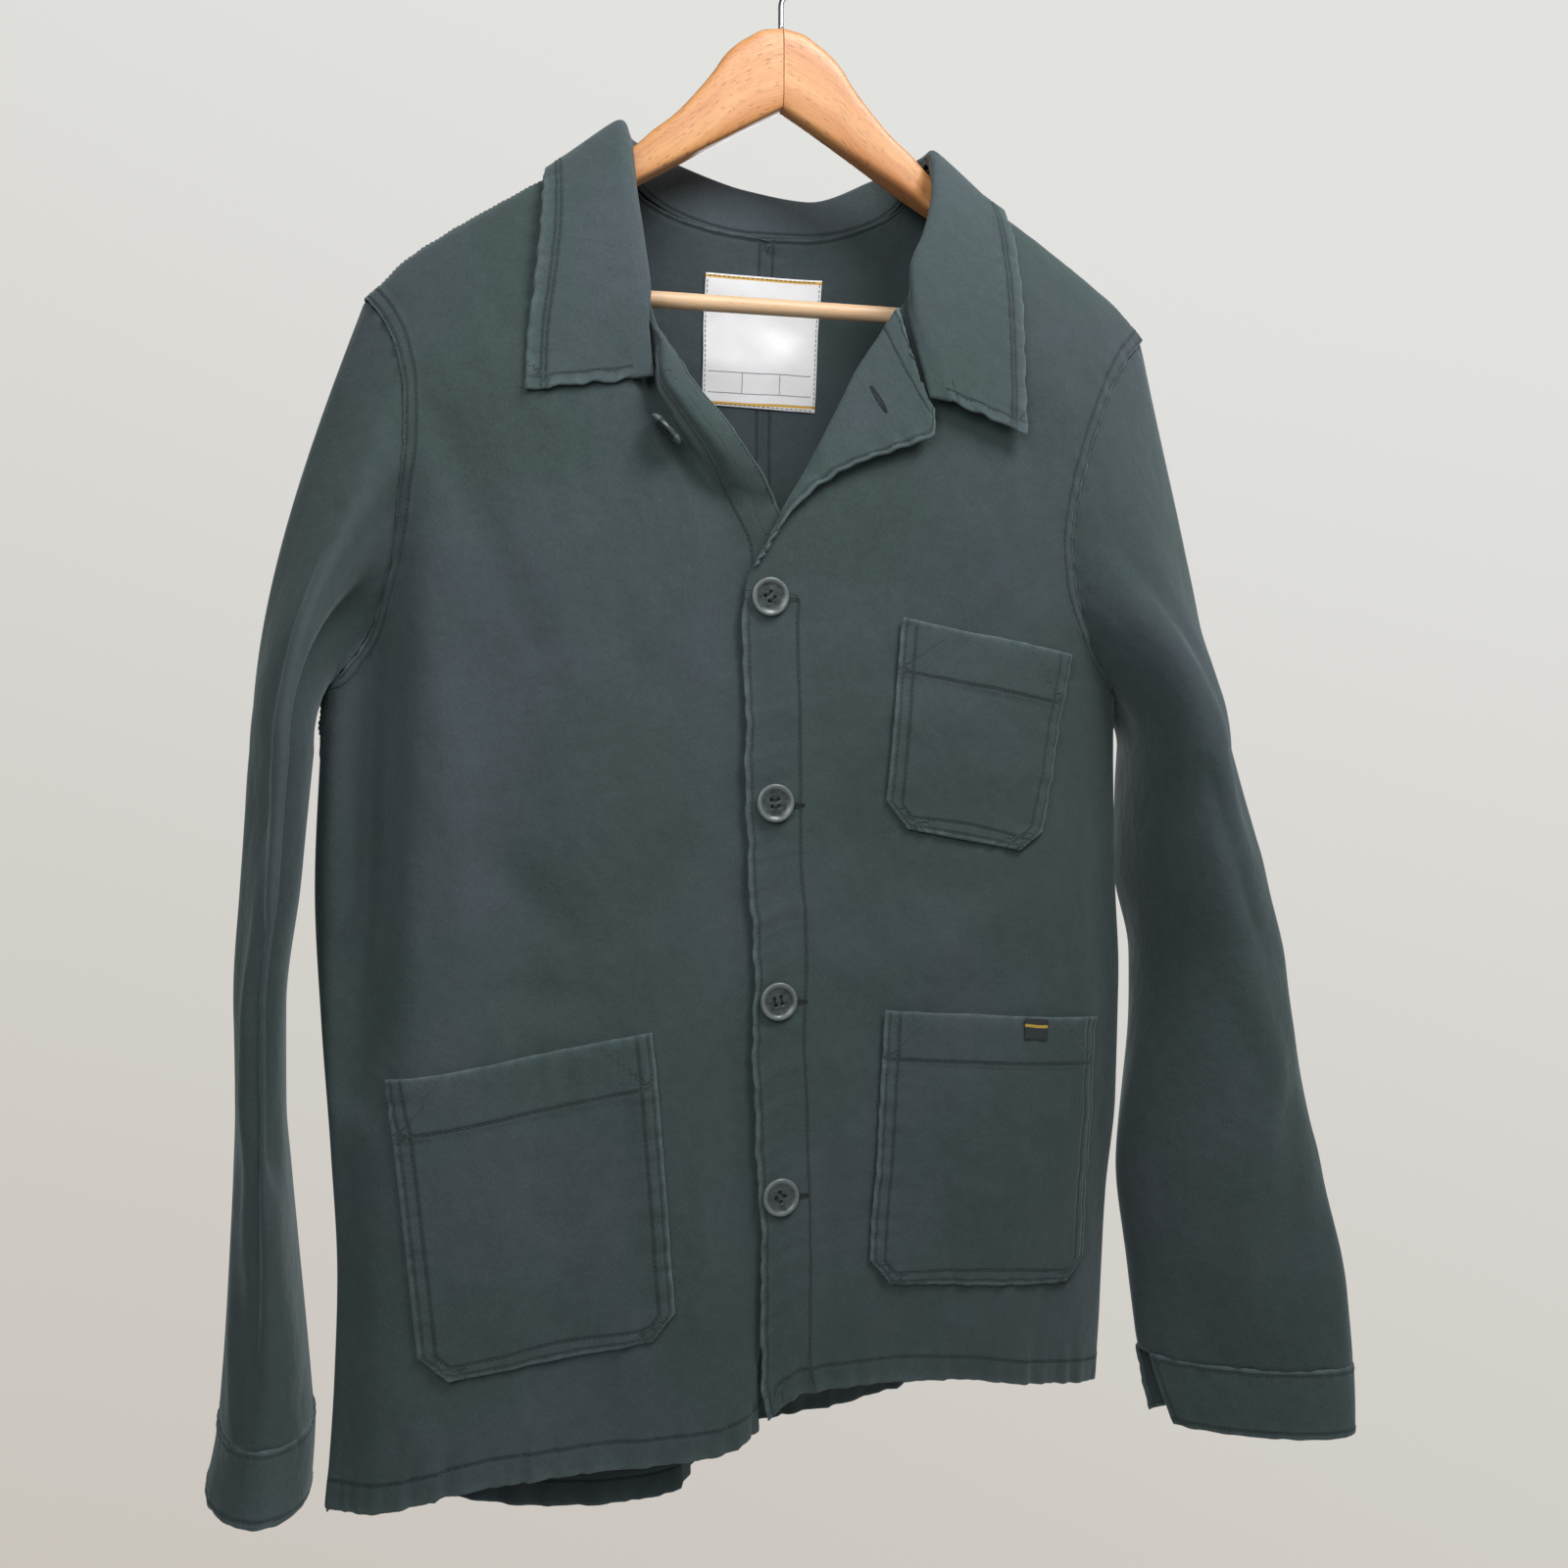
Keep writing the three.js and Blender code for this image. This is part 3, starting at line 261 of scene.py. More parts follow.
# The swing of the back's hem: forwards on the wearer's right of x, backwards on the left
hemFold = {
    "x": -46, "width": 24, "front": -26, "rear": 42, "fadeFrom": -480, "fadeTo": -960, "power": 1.7,
    "rightEnd": (-273, 140), "leftEnd": (220, 190),
}


def hemSwing(x, z):
    reach = hemFold["fadeFrom"] - hemFold["fadeTo"]
    grow = np.clip((hemFold["fadeFrom"] - z) / reach, 0, 1) ** hemFold["power"]
    step = smoothStep(x, hemFold["x"] - hemFold["width"], hemFold["x"] + hemFold["width"])
    rightEnd, rightReach = hemFold["rightEnd"]
    leftEnd, leftReach = hemFold["leftEnd"]
    front = hemFold["front"] * quarter((x - rightEnd) / rightReach)
    rear = hemFold["rear"] * quarter((leftEnd - x) / leftReach)
    return grow * mix(front, rear, step)


# Depth of the body's cloth at (x, z): face -1 for the front, +1 for the back.
def bodyY(face, x, z):
    x = np.asarray(x, float)
    z = np.asarray(z, float)
    right = body("right", z)
    left = body("left", z)
    inside = np.minimum(x - right, left - x)
    drop = shoulder("z", np.abs(x)) - z
    shape = quarter(inside / jacket["roundWidth"]) * quarter(drop / jacket["roundDrop"])
    line = mix(body("rightY", z), body("leftY", z), (x - right) / (left - right))
    if face > 0:
        depth = body("back", z) + creaseHeight(panelCreases["back"], x, z)
        swing = hemSwing(x, z)
    else:
        rightFront = creaseHeight(panelCreases["frontRight"], x, z)
        leftFront = creaseHeight(panelCreases["frontLeft"], x, z)
        depth = body("front", z) + np.where(x < (right + left) / 2, rightFront, leftFront)
        swing = 0
    for height, size, seed in ((0.9, 85, 3 + face), (0.3, 30, 7 + face), (0.1, 13, 9)):
        depth = depth + height * ripple(x, z, size, seed)
    return line + shape * (face * depth + swing)


def onBody(face, x, z):
    x = np.asarray(x, float)
    z = np.asarray(z, float)
    return np.stack([x, bodyY(face, x, z), z], -1)


# The point of the front at (x, z), moved out along the cloth's normal.
def liftOff(x, z, lift):
    across = onBody(-1, x + 2, z) - onBody(-1, x - 2, z)
    along = onBody(-1, x, np.asarray(z) + 2) - onBody(-1, x, np.asarray(z) - 2)
    return onBody(-1, x, z) + unit(np.cross(across, along)) * np.asarray(lift)[..., None]


def unit(v):
    return v / np.maximum(np.linalg.norm(v, axis=-1, keepdims=True), 1e-9)


# Keys from 0 to 1, with a few more close to both ends for the rounded edge of the cloth.
def edgeKeys(count, size, near=(1.2, 2.4)):
    extra = [k / size for k in near] + [1 - k / size for k in near]
    return np.array(sorted(set([i / count for i in range(count + 1)] + extra)))


# A sheet of (x, z) spread between four sides, each a function of a key from 0 to 1.
def spread(hem, top, outer, inner, us, vs):
    ends = np.array([0.0, 1.0])
    u = us[None, :, None]
    v = vs[:, None, None]
    low = hem(ends)
    high = top(ends)
    rows = (1 - v) * hem(us)[None] + v * top(us)[None]
    sides = rows + (1 - u) * outer(vs)[:, None] + u * inner(vs)[:, None]
    lowCorners = (1 - u) * (1 - v) * low[0] + u * (1 - v) * low[1]
    corners = lowCorners + (1 - u) * v * high[0] + u * v * high[1]
    return sides - corners


def pair(x, z):
    x, z = np.broadcast_arrays(np.asarray(x, float), np.asarray(z, float))
    return np.stack([x, z], -1)


underarmV = 0.6
underarmZ = -475
gorgeZ = -262
neckPointZ = -147.5
panelKeys = {
    "rows": 220, "length": 760, "cols": 76, "width": 250, "crowdRows": 1.7, "crowdCols": 1.3,
    "seamGap": 0.3, "shoulderGap": 0.7, "edgeStrip": (22, 62), "stripFrom": (14 / 15) ** 1.5,
}


def panelRows():
    v = edgeKeys(panelKeys["rows"], panelKeys["length"])
    above = 1 - (1 - underarmV) * (np.clip(1 - v, 0, 1) / (1 - underarmV)) ** panelKeys["crowdRows"]
    return np.where(v < underarmV, v, above)


def panelCols():
    return edgeKeys(panelKeys["cols"], panelKeys["width"]) ** panelKeys["crowdCols"]


def outerSide(sideName, hemZ, armhole):
    def at(v):
        t = np.clip((v - underarmV) / (1 - underarmV), 0, 1)
        z = mix(hemZ, armhole("z", 0.0), v / underarmV)
        above = (v >= underarmV)[..., None]
        return np.where(above, pair(armhole("x", t), armhole("z", t)), pair(body(sideName, z), z))
    return at


def onShoulder(x):
    return pair(x, shoulder("z", np.abs(x)))


def innerSide(bottomZ, topZ, xAt):
    def at(v):
        above = (v - underarmV) / (1 - underarmV)
        z = np.where(above < 0, mix(bottomZ, underarmZ, v / underarmV), mix(underarmZ, topZ, above))
        return pair(xAt(z), z)
    return at


def hemSide(hem, start, end):
    def at(u):
        x = mix(start, end, u)
        return pair(x, hem("z", x))
    return at


def partSeams(grid, face):
    grid[:, 0, 1] += face * panelKeys["seamGap"] / 2
    grid[-1, :, 1] += face * panelKeys["shoulderGap"] / 2
    return grid


def frontLeftGrid():
    neckX = leftEdge("x", -147.0)
    armhole = armholes["frontLeft"]
    flat = spread(
        hemSide(frontHem, body("left", jacket["hemZ"]["left"]), leftEdge("x", -906.0)),
        lambda u: onShoulder(mix(armhole("x", 1.0), neckX, u)),
        outerSide("left", frontHem("z", 220.0), armhole),
        innerSide(-906, shoulder("z", neckX), lambda z: leftEdge("x", z)),
        panelCols(),
        panelRows(),
    )
    return partSeams(onBody(-1, flat[..., 0], flat[..., 1]), -1)


# A point of the right front's edge strip, for the rows whose crease is at rowZ.
def edgeGuide(kind, back, rowZ):
    x = rightEdge(kind + "X", rowZ)
    creaseX = rightEdge("creaseX", rowZ)
    free = np.clip((gorgeZ - rowZ) / 40, 0, 1) * np.clip((rowZ + 420) / 40, 0, 1)
    upper = np.clip((rowZ - gorgeZ) / (neckPointZ - gorgeZ), 0, 1)
    alongShoulder = shoulder("z", np.abs(x)) - shoulder("z", np.abs(creaseX))
    alongHem = np.clip((-905 - rowZ) / 20, 0, 1) * (frontHem("z", x) - frontHem("z", creaseX))
    z = rowZ + upper * alongShoulder - 0.12 * free * (x - creaseX) + alongHem
    return np.stack([x, bodyY(-1, np.minimum(x, -24), z) + back, z], -1)


# Points of a smooth curve through four guides, at keys from 0 to 1.
def runThrough(guides, keys):
    first = 2 * guides[0] - guides[1]
    last = 2 * guides[3] - guides[2]
    line = [first] + guides + [last]
    out = []
    for t in keys:
        k = min(int(t * 3), 2)
        w = t * 3 - k
        p = line[k:k + 4]
        gaps = [np.maximum(np.sum((p[i + 1] - p[i]) ** 2, -1) ** 0.25, 1e-4)[:, None] for i in range(3)]
        t1 = (p[1] - p[0]) / gaps[0] - (p[2] - p[0]) / (gaps[0] + gaps[1]) + (p[2] - p[1]) / gaps[1]
        t2 = (p[2] - p[1]) / gaps[1] - (p[3] - p[1]) / (gaps[1] + gaps[2]) + (p[3] - p[2]) / gaps[2]
        t1 = t1 * gaps[1]
        t2 = t2 * gaps[1]
        cubic = 2 * p[1] - 2 * p[2] + t1 + t2
        square = -3 * p[1] + 3 * p[2] - 2 * t1 - t2
        out.append(p[1] + t1 * w + square * w * w + cubic * w ** 3)
    return np.stack(out, 1)


def frontRightGrid():
    creaseX = rightEdge("creaseX", neckPointZ)
    armhole = armholes["frontRight"]
    lastU = panelKeys["stripFrom"]
    cols = panelCols()
    cols = np.append(cols[cols < lastU - 0.006], lastU)
    flat = spread(
        hemSide(frontHem, body("right", jacket["hemZ"]["right"]), rightEdge("creaseX", -915.0)),
        lambda u: onShoulder(mix(armhole("x", 1.0), creaseX, u)),
        outerSide("right", frontHem("z", -271.0), armhole),
        innerSide(-921, shoulder("z", np.abs(creaseX)), lambda z: rightEdge("creaseX", z)),
        np.append(cols, 1.0),
        panelRows(),
    )
    rowZ = flat[:, -1, 1]
    panel = onBody(-1, flat[:, :-1, 0], flat[:, :-1, 1])
    guides = [
        panel[:, -1],
        edgeGuide("crease", rightEdge("creaseIn", rowZ), rowZ),
        edgeGuide("ridge", -rightEdge("ridgeOut", rowZ), rowZ),
        edgeGuide("edge", -rightEdge("edgeOut", rowZ), rowZ),
    ]
    keys = edgeKeys(*panelKeys["edgeStrip"])[1:]
    grid = np.concatenate([panel, runThrough(guides, keys)], 1)
    return partSeams(grid, -1)


def backGrid(side):
    sideName = "right" if side < 0 else "left"
    panel = "backRight" if side < 0 else "backLeft"
    armhole = armholes[panel]
    neckline = necklines[panel]
    outerX = body(sideName, jacket["hemZ"]["back"])
    middle = side * 0.1

    def top(u):
        t = np.clip((u - 0.6) / 0.4, 0, 1)
        ridge = onShoulder(mix(armhole("x", 1.0), neckline("x", 0.0), np.clip(u / 0.6, 0, 1)))
        return np.where((u > 0.6)[..., None], pair(neckline("x", t), neckline("z", t)), ridge)

    flat = spread(
        hemSide(backHem, outerX, middle),
        top,
        outerSide(sideName, backHem("z", outerX), armhole),
        innerSide(backHem("z", 0.0), -184, lambda z: middle + 0 * z),
        panelCols(),
        panelRows(),
    )
    flat[:, -1, 0] = middle
    return partSeams(onBody(1, flat[..., 0], flat[..., 1]), 1)


def hermite(p, m0, q, m1, t):
    a = (1 + 2 * t) * (1 - t) ** 2
    b = t * t * (3 - 2 * t)
    return a * p + b * q + t * (1 - t) ** 2 * m0 - t * t * (1 - t) * m1


collarClear = 3.7
collarKeys = {"stations": (236, 690), "stand": 9, "fall": (26, 60)}
lapelKeys = {"stations": (70, 190), "columns": (24, 80), "lift": 2.3}


# Moves the fall of the collar out of the body that it lies on.
def drape(p):
    x, y, z = p[..., 0], p[..., 1], p[..., 2]
    ridge = shoulder("z", np.abs(x))
    drop = ridge - z
    z = np.where(drop <= collarClear, np.maximum(z, ridge + collarClear - 0.031 * y * y), z)
    drop = ridge - z
    away = collarClear * np.clip((drop + collarClear) / collarClear, 0, 1)
    ahead = np.minimum(y, bodyY(-1, x, z) - away)
    behind = np.maximum(y, bodyY(1, x, z) + away)
    y = np.where(drop > -collarClear, np.where(y < 0, ahead, behind), y)
    return np.stack([x, y, z], -1)


def collarGrid():
    s = edgeKeys(*collarKeys["stations"])
    read = lambda k: np.stack([collar(k + a, s) for a in "xyz"], -1)[:, None]
    base, roll, edge = read("s"), read("r"), read("e")
    turn = 0.35 * (edge - base)
    up = np.linspace(0, 1, collarKeys["stand"])[None, :, None]
    down = edgeKeys(*collarKeys["fall"])[1:][None, :, None]
    stand = hermite(base, roll - base, roll, turn, up)
    fall = drape(hermite(roll, 1.2 * turn, edge, 0.9 * (edge - roll), down))
    return np.concatenate([stand, fall], 1)


def lapelGrid():
    t = edgeKeys(*lapelKeys["stations"])
    u = edgeKeys(*lapelKeys["columns"])
    lift = lapelKeys["lift"] + lapel("rise", t)[:, None] * np.sin(u * math.pi / 2)[None] ** 0.7
    x = mix((lapel("rollX", t) - 1)[:, None], lapel("freeX", t)[:, None], u[None])
    z = mix(lapel("rollZ", t)[:, None], lapel("freeZ", t)[:, None], u[None])
    return np.stack([x, bodyY(-1, x, z) - lift, z], -1)


sleeves = {
    "right": {
        "side": -1, "puff": 0.34, "front": armholes["frontRight"], "back": armholes["backRight"],
        "sections": curves(["z", "x", "y", "outX", "outY", "foreX", "foreY"], [
            [-505, -293, -12, -16, 0, 6, -84], [-585, -300, -13, -14.5, 0, 6, -84],
            [-650, -306.5, -14, -13, 0, 6, -80], [-705, -307, -14, -13, 0, 6, -76],
            [-745, -306.5, -13, -15, 0, 5, -70], [-790, -306, -12, -18, 0, 5, -64],
            [-845, -305.5, -13, -22, 0, 4, -58], [-884, -305.5, -16, -25, 0, 3, -55],
            [-930, -311, -22, -28, 0, 5, -53],
        ]),
        "cuffSeam": -882, "cuffDrop": 40, "slit": 0.66, "slitTop": 0.01, "slitBottom": 0.03,
        # folds of the cloth: turn and height from, turn and height to, width, height
        "folds": [
            [40, -380, 70, -640, 11, -4.8], [62, -520, 58, -760, 9, 3.5], [20, -470, 34, -700, 10, 2.9],
            [84, -600, 70, -860, 10, -3.8], [120, -280, 116, -720, 14, -12],
            [30, -740, 44, -880, 10, 2.9], [200, -420, 260, -600, 16, -4.8],
            [300, -560, 280, -800, 14, 3.8], [330, -420, 340, -640, 12, -3.2],
            [230, -700, 240, -870, 13, -3.5],
        ],
    },
    "left": {
        "side": 1, "puff": 0.2, "front": armholes["frontLeft"], "back": armholes["backLeft"],
        "sections": curves(["z", "x", "y", "outX", "outY", "foreX", "foreY"], [
            [-505, 264, 0, 27, 0, -12, -82], [-590, 271, -8, 35, -5, -4, -76],
            [-645, 281, -14, 38, -8, -2, -66], [-712, 283, -22, 48, -13, -4, -58],
            [-775, 283, -30, 57, -20, -4, -48], [-850, 292, -40, 61, -25, -5, -35],
            [-897, 295, -46, 60, -27, -6, -26], [-950, 299, -50, 56, -27, -5, -22],
        ]),
        "cuffSeam": -896, "cuffDrop": 43, "slit": 0.47, "slitTop": 0.03, "slitBottom": 0.07,
        "folds": [
            [60, -340, 50, -560, 14, -4.2], [30, -480, 44, -700, 12, 2.9],
            [100, -520, 70, -640, 13, -4.2], [96, -640, 60, -720, 12, 3.2],
            [54, -700, 66, -860, 12, -2.9], [20, -760, 30, -880, 13, 2.6], [88, -780, 96, -880, 12, 2.9],
            [210, -420, 250, -600, 16, -4.8], [290, -560, 270, -800, 14, 3.8],
            [330, -420, 320, -640, 12, -3.2],
        ],
    },
}
sleeveRound = 350  # mm once round a sleeve, for placing its folds
sleeveKeys = {"turns": 116, "headRows": 72, "armRows": 118, "headEnd": -508}
cuffKeys = {"rows": (14, 42), "columns": (104, 330)}


def sectionPoint(sleeve, turn, z):
    read = lambda name: sleeve["sections"](name, z)
    out = np.cos(2 * math.pi * turn)
    fore = np.sin(2 * math.pi * turn)
    x = read("x") + read("outX") * out + read("foreX") * fore
    y = read("y") + read("outY") * out + read("foreY") * fore
    return np.stack(np.broadcast_arrays(x, y, z + 0 * turn), -1)


def armholePoint(sleeve, turn):
    front = turn <= 0.5
    t = np.where(front, 1 - 2 * turn, 2 * turn - 1)
    x = np.where(front, sleeve["front"]("x", t), sleeve["back"]("x", t))
    z = np.where(front, sleeve["front"]("z", t), sleeve["back"]("z", t))
    y = np.where(front, bodyY(-1, x, z), bodyY(1, x, z))
    return np.stack([x, y, z], -1)


def sleeveGrid(sleeve):
    turn = np.arange(sleeveKeys["turns"]) / sleeveKeys["turns"]
    low = (1 - np.cos(2 * math.pi * turn)) / 2
    fore = np.sin(2 * math.pi * turn)
    leaveX = sleeve["side"] * mix(sleeve["puff"], 0.8, low)
    leave = unit(np.stack([leaveX, -0.25 * fore, mix(-0.9, -0.6, low)], -1))
    start = armholePoint(sleeve, turn)
    centre = start.mean(0)
    start = start + 0.5 * leave - 0.9 * unit((start - centre) * np.array([0, 1, 1]))
    end = sectionPoint(sleeve, turn, sleeveKeys["headEnd"] + 0 * turn)
    reach = np.linalg.norm(end - start, axis=-1, keepdims=True)
    down = np.array([0, 0, -1.0])
    s = (np.linspace(0, 1, sleeveKeys["headRows"]) ** 1.15)[:, None, None]
    head = hermite(start, leave * reach * 1.1, end, down * reach * 0.9, s)
    z = np.linspace(sleeveKeys["headEnd"], sleeve["cuffSeam"] + 0.1, sleeveKeys["armRows"])[1:, None]
    arm = sectionPoint(sleeve, turn[None], z)
    grid = np.concatenate([head, arm], 0)
    around = turn[None] * sleeveRound + 0 * grid[..., 2]
    relief = creaseHeight(sleeve["folds"], around, grid[..., 2])
    wave = 0.9 * np.sin(2 * math.pi * turn)[None] * ripple(around, grid[..., 2], 60, 21)
    fade = smoothStep(np.linspace(0, 1, len(grid))[:, None], 0.0, 0.12)
    normal = outward(grid, True, None)
    return grid + normal * ((relief + wave) * fade)[..., None]


def cuffGrid(sleeve):
    s = edgeKeys(*cuffKeys["rows"])[:, None]
    u = edgeKeys(*cuffKeys["columns"])[None]
    z = sleeve["cuffSeam"] - 0.1 - s * sleeve["cuffDrop"]
    gap = mix(sleeve["slitTop"], sleeve["slitBottom"], s)
    turn = mix(sleeve["slit"] + gap, sleeve["slit"] + 1 - gap, u)
    return sectionPoint(sleeve, turn, z)


pockets = {
    "hip_right": {"tl": [-236, -690], "tr": [-91, -669], "bl": [-220, -855], "br": [-77, -846], "hem": 33},
    "hip_left": {"tl": [53, -664], "tr": [198, -678], "bl": [43, -829], "br": [194, -849], "hem": 31},
    "chest": {"tl": [62, -429], "tr": [175, -449], "bl": [53, -552], "br": [153, -572], "hem": 33},
}
chamfer = 14


def pocketGrid(pocket):
    tl, tr, bl, br = (np.array(pocket[k], float) for k in ["tl", "tr", "bl", "br"])
    wide = np.linalg.norm(br - bl)
    tall = np.linalg.norm(bl - tl)
    marks = [1 - chamfer / tall, (pocket["hem"] + 0.8) / tall]
    vs = np.array(sorted(set(list(edgeKeys(int(tall / 3), tall)) + marks)))
    us = edgeKeys(int(wide / 3), wide)
    cut = np.clip((vs * tall - (tall - chamfer)) / chamfer, 0, 1) * (chamfer / wide)
    s = mix(cut[:, None], 1 - cut[:, None], us[None])[..., None]
    v = vs[:, None, None]
    p = (1 - v) * mix(tl, tr, s) + v * mix(bl, br, s)
    band = 0.5 * (1 - smoothStep(vs * tall, pocket["hem"] - 0.8, pocket["hem"] + 0.8))
    swell = 0.9 * np.sin(math.pi * us)[None] * np.sin(math.pi * vs)[:, None]
    swell = swell * (1 + 0.6 * ripple(p[..., 0], p[..., 1], 34, 5))
    lift = jacket["pocketLift"] + band[:, None] + swell
    return liftOff(p[..., 0], p[..., 1], lift)


# Normals of a grid, turned to the side that is given by a direction or, on a tube, outwards.
def outward(grid, looped, direction):
    if looped:
        across = np.roll(grid, -1, 1) - np.roll(grid, 1, 1)
    else:
        across = np.gradient(grid, axis=1)
    normal = unit(np.cross(across, np.gradient(grid, axis=0)))
    if direction is None:
        facing = np.sum(normal * (grid - grid.mean(1, keepdims=True)))
    else:
        facing = np.sum(normal * np.array(direction, float))
    return normal if facing > 0 else -normal


# How far each point of a grid lies from one of its sides, along the cloth.
def sideDistance(grid, side):
    axis = 0 if side in ("hem", "top") else 1
    step = np.linalg.norm(np.diff(grid, axis=axis), axis=-1)
    run = np.concatenate([np.zeros_like(np.take(step, [0], axis)), np.cumsum(step, axis)], axis)
    if side in ("top", "inner"):
        run = np.take(run, [-1], axis) - run
    return run


# Place of each point along a side, in mm.
def alongSide(grid, side):
    line = {"hem": grid[0], "top": grid[-1], "outer": grid[:, 0], "inner": grid[:, -1]}[side]
    run = np.append(0, np.cumsum(np.linalg.norm(np.diff(line, axis=0), axis=1)))
    return run[None, :] if side in ("hem", "top") else run[:, None]


# Sewn edges: side, insets of its one or two stitch rows, raised band, puckers, part of the side.
def sewnEdge(side, rows, band=0.0, pucker=0.0, size=10, part=(0, 1), worn=0.0, wave=0.0):
    return {
        "side": side, "rows": rows, "band": band, "pucker": pucker, "size": size, "part": part,
        "worn": worn, "wave": wave,
    }


noRow = 60.0  # mm to a stitch row, where there is none


def sewGrid(grid, normal, edges, seed):
    shape = grid.shape[:2]
    near = np.full(shape, noRow)
    far = np.full(shape, noRow)
    worn = np.zeros(shape)
    height = np.zeros(shape)
    slide = np.zeros(grid.shape)
    for k, edge in enumerate(edges):
        side = edge["side"]
        away = sideDistance(grid, side)
        place = alongSide(grid, side)
        share = place / place.max() + 0 * away
        start, end = edge["part"]
        inPart = smoothStep(share, start - 0.015, start) if start > 0 else 1
        if end < 1:
            inPart = inPart * (1 - smoothStep(share, end, end + 0.015))
        away = away + noRow * (1 - inPart)
        for target, n in ((near, 0), (far, 1)):
            if len(edge["rows"]) > n:
                signed = away - edge["rows"][n]
                closer = np.abs(signed) < np.abs(target)
                target[closer] = signed[closer]
        last = edge["rows"][-1] if edge["rows"] else 0
        height += edge["band"] * (1 - smoothStep(away, last + 0.5, last + 3.5))
        ruck = wobble(place, edge["size"], seed + k)
        ruck = ruck + 0.4 * wobble(place, edge["size"] * 0.45, seed + k + 50)
        height += edge["pucker"] * ruck * np.exp(-((away / (last + 6)) ** 2))
        rubbed = np.exp(-away / 2.2) * (0.75 + 0.25 * wobble(place, 7, seed + 9))
        worn = np.maximum(worn, edge["worn"] * rubbed)
        if edge["wave"]:
            axis = 0 if side in ("hem", "top") else 1
            ends = (0, 4) if side in ("hem", "outer") else (-1, -5)
            line, inner = [np.take(grid, [k], axis) for k in ends]
            push = wobble(place, 11, seed + 3) * np.exp(-((away / 5) ** 2)) * edge["wave"]
            slide += unit(line - inner) * push[..., None]
    return grid + normal * height[..., None] + slide, near, far, worn


# A smooth mesh in metres from an array of points in mm.
def newMesh(name, points, faces):
    mesh = bpy.data.meshes.new(name)
    mesh.from_pydata((points / 1000).tolist(), [], faces)
    mesh.polygons.foreach_set("use_smooth", [True] * len(mesh.polygons))
    return mesh


# The vertex at each corner of each face.
def cornersOf(mesh):
    corners = np.empty(len(mesh.loops), np.int32)
    mesh.loops.foreach_get("vertex_index", corners)
    return corners


def writeUv(mesh, label, u, v):
    mesh.uv_layers.new(name=label)
    pairs = np.stack([u, v], -1).astype(np.float32)
    mesh.uv_layers[label].data.foreach_set("uv", pairs.reshape(-1))


# Quads between the rows of a grid of vertex numbers; each row is a ring.
def ringQuads(index):
    turned = np.roll(index, -1, 1)
    return np.stack([index[:-1], turned[:-1], turned[1:], index[1:]], -1).reshape(-1, 4)


rim = {"thin": 0.72, "reach": 0.33}  # rounded edges: share of the thickness left, and how far it bulges


# A closed wall of cloth round a grid, with rounded edges.
def clothMesh(name, grid, normal, thickness, looped, near, far, worn):
    rows, cols = grid.shape[:2]
    half = np.full((rows, cols, 1), thickness / 2)
    half[[0, -1]] *= rim["thin"]
    if not looped:
        half[:, [0, -1]] *= rim["thin"]
    index = np.arange(rows * cols).reshape(rows, cols)
    if looped:
        rims = [index[0], index[-1][::-1]]
    else:
        rims = [np.concatenate([index[0], index[1:, -1], index[-1, :-1][::-1], index[1:-1, 0][::-1]])]
    flat = grid.reshape(-1, 3)
    lower = np.clip(np.arange(rows), 1, rows - 2)
    middle = np.arange(cols) if looped else np.clip(np.arange(cols), 1, cols - 2)
    inward = grid[np.ix_(lower, middle)].reshape(-1, 3)
    upper = (grid + normal * half).reshape(-1, 3)
    under = (grid - normal * half).reshape(-1, 3)
    size = rows * cols
    verts = [upper, under]
    right = np.roll(index, -1, 1) if looped else index[:, 1:]
    left = index if looped else index[:, :-1]
    quads = np.stack([left[:-1], right[:-1], right[1:], left[1:]], -1).reshape(-1, 4)
    faces = [quads, quads[:, ::-1] + size]
    origin = [np.arange(size), np.arange(size)]
    count = 2 * size
    for edge in rims:
        out = unit(flat[edge] - inward[edge])
        verts.append(flat[edge] + out * thickness * rim["reach"])
        ring = count + np.arange(len(edge))
        after = np.roll(np.arange(len(edge)), -1)
        faces.append(np.stack([edge[after], edge, ring, ring[after]], -1))
        faces.append(np.stack([ring[after], ring, edge + size, edge[after] + size], -1))
        origin.append(edge)
        count += len(edge)
    verts = np.concatenate(verts)
    faces = np.concatenate(faces)
    origin = np.concatenate(origin)
    first = verts[faces[0]]
    faceNormal = np.cross(first[1] - first[0], first[2] - first[0])
    if np.dot(faceNormal, normal[0, 0]) < 0:
        faces = faces[:, ::-1]
    mesh = newMesh(name, verts, faces.tolist())
    u = sideDistance(grid, "outer")
    v = sideDistance(grid, "top")
    if looped:
        u = np.arange(cols)[None, :] * (sleeveRound / cols) + 0 * v
    corners = origin[cornersOf(mesh)]
    u = u.reshape(-1)[corners] / 1000
    v = v.reshape(-1)[corners] / 1000
    if looped:
        quad = u.reshape(-1, 4)
        whole = sleeveRound / 1000
        wraps = (quad.max(1) - quad.min(1)) > whole / 2
        quad[wraps] = np.where(quad[wraps] < whole / 2, quad[wraps] + whole, quad[wraps])
        u = quad.reshape(-1)
    writeUv(mesh, "cloth", u, v)
    for label, values in (("rowNear", near), ("rowFar", far), ("worn", worn)):
        layer = mesh.attributes.new(label, "FLOAT", "POINT")
        layer.data.foreach_set("value", values.reshape(-1)[origin].astype(np.float32))
    mesh.update()
    return mesh


def place(name, mesh, material, slot, replaces=()):
    piece = bpy.data.objects.new(name, mesh)
    bpy.context.scene.collection.objects.link(piece)
    piece.data.materials.append(material)
    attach(piece, "root")
    if replaces:
        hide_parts(*replaces)
    return piece


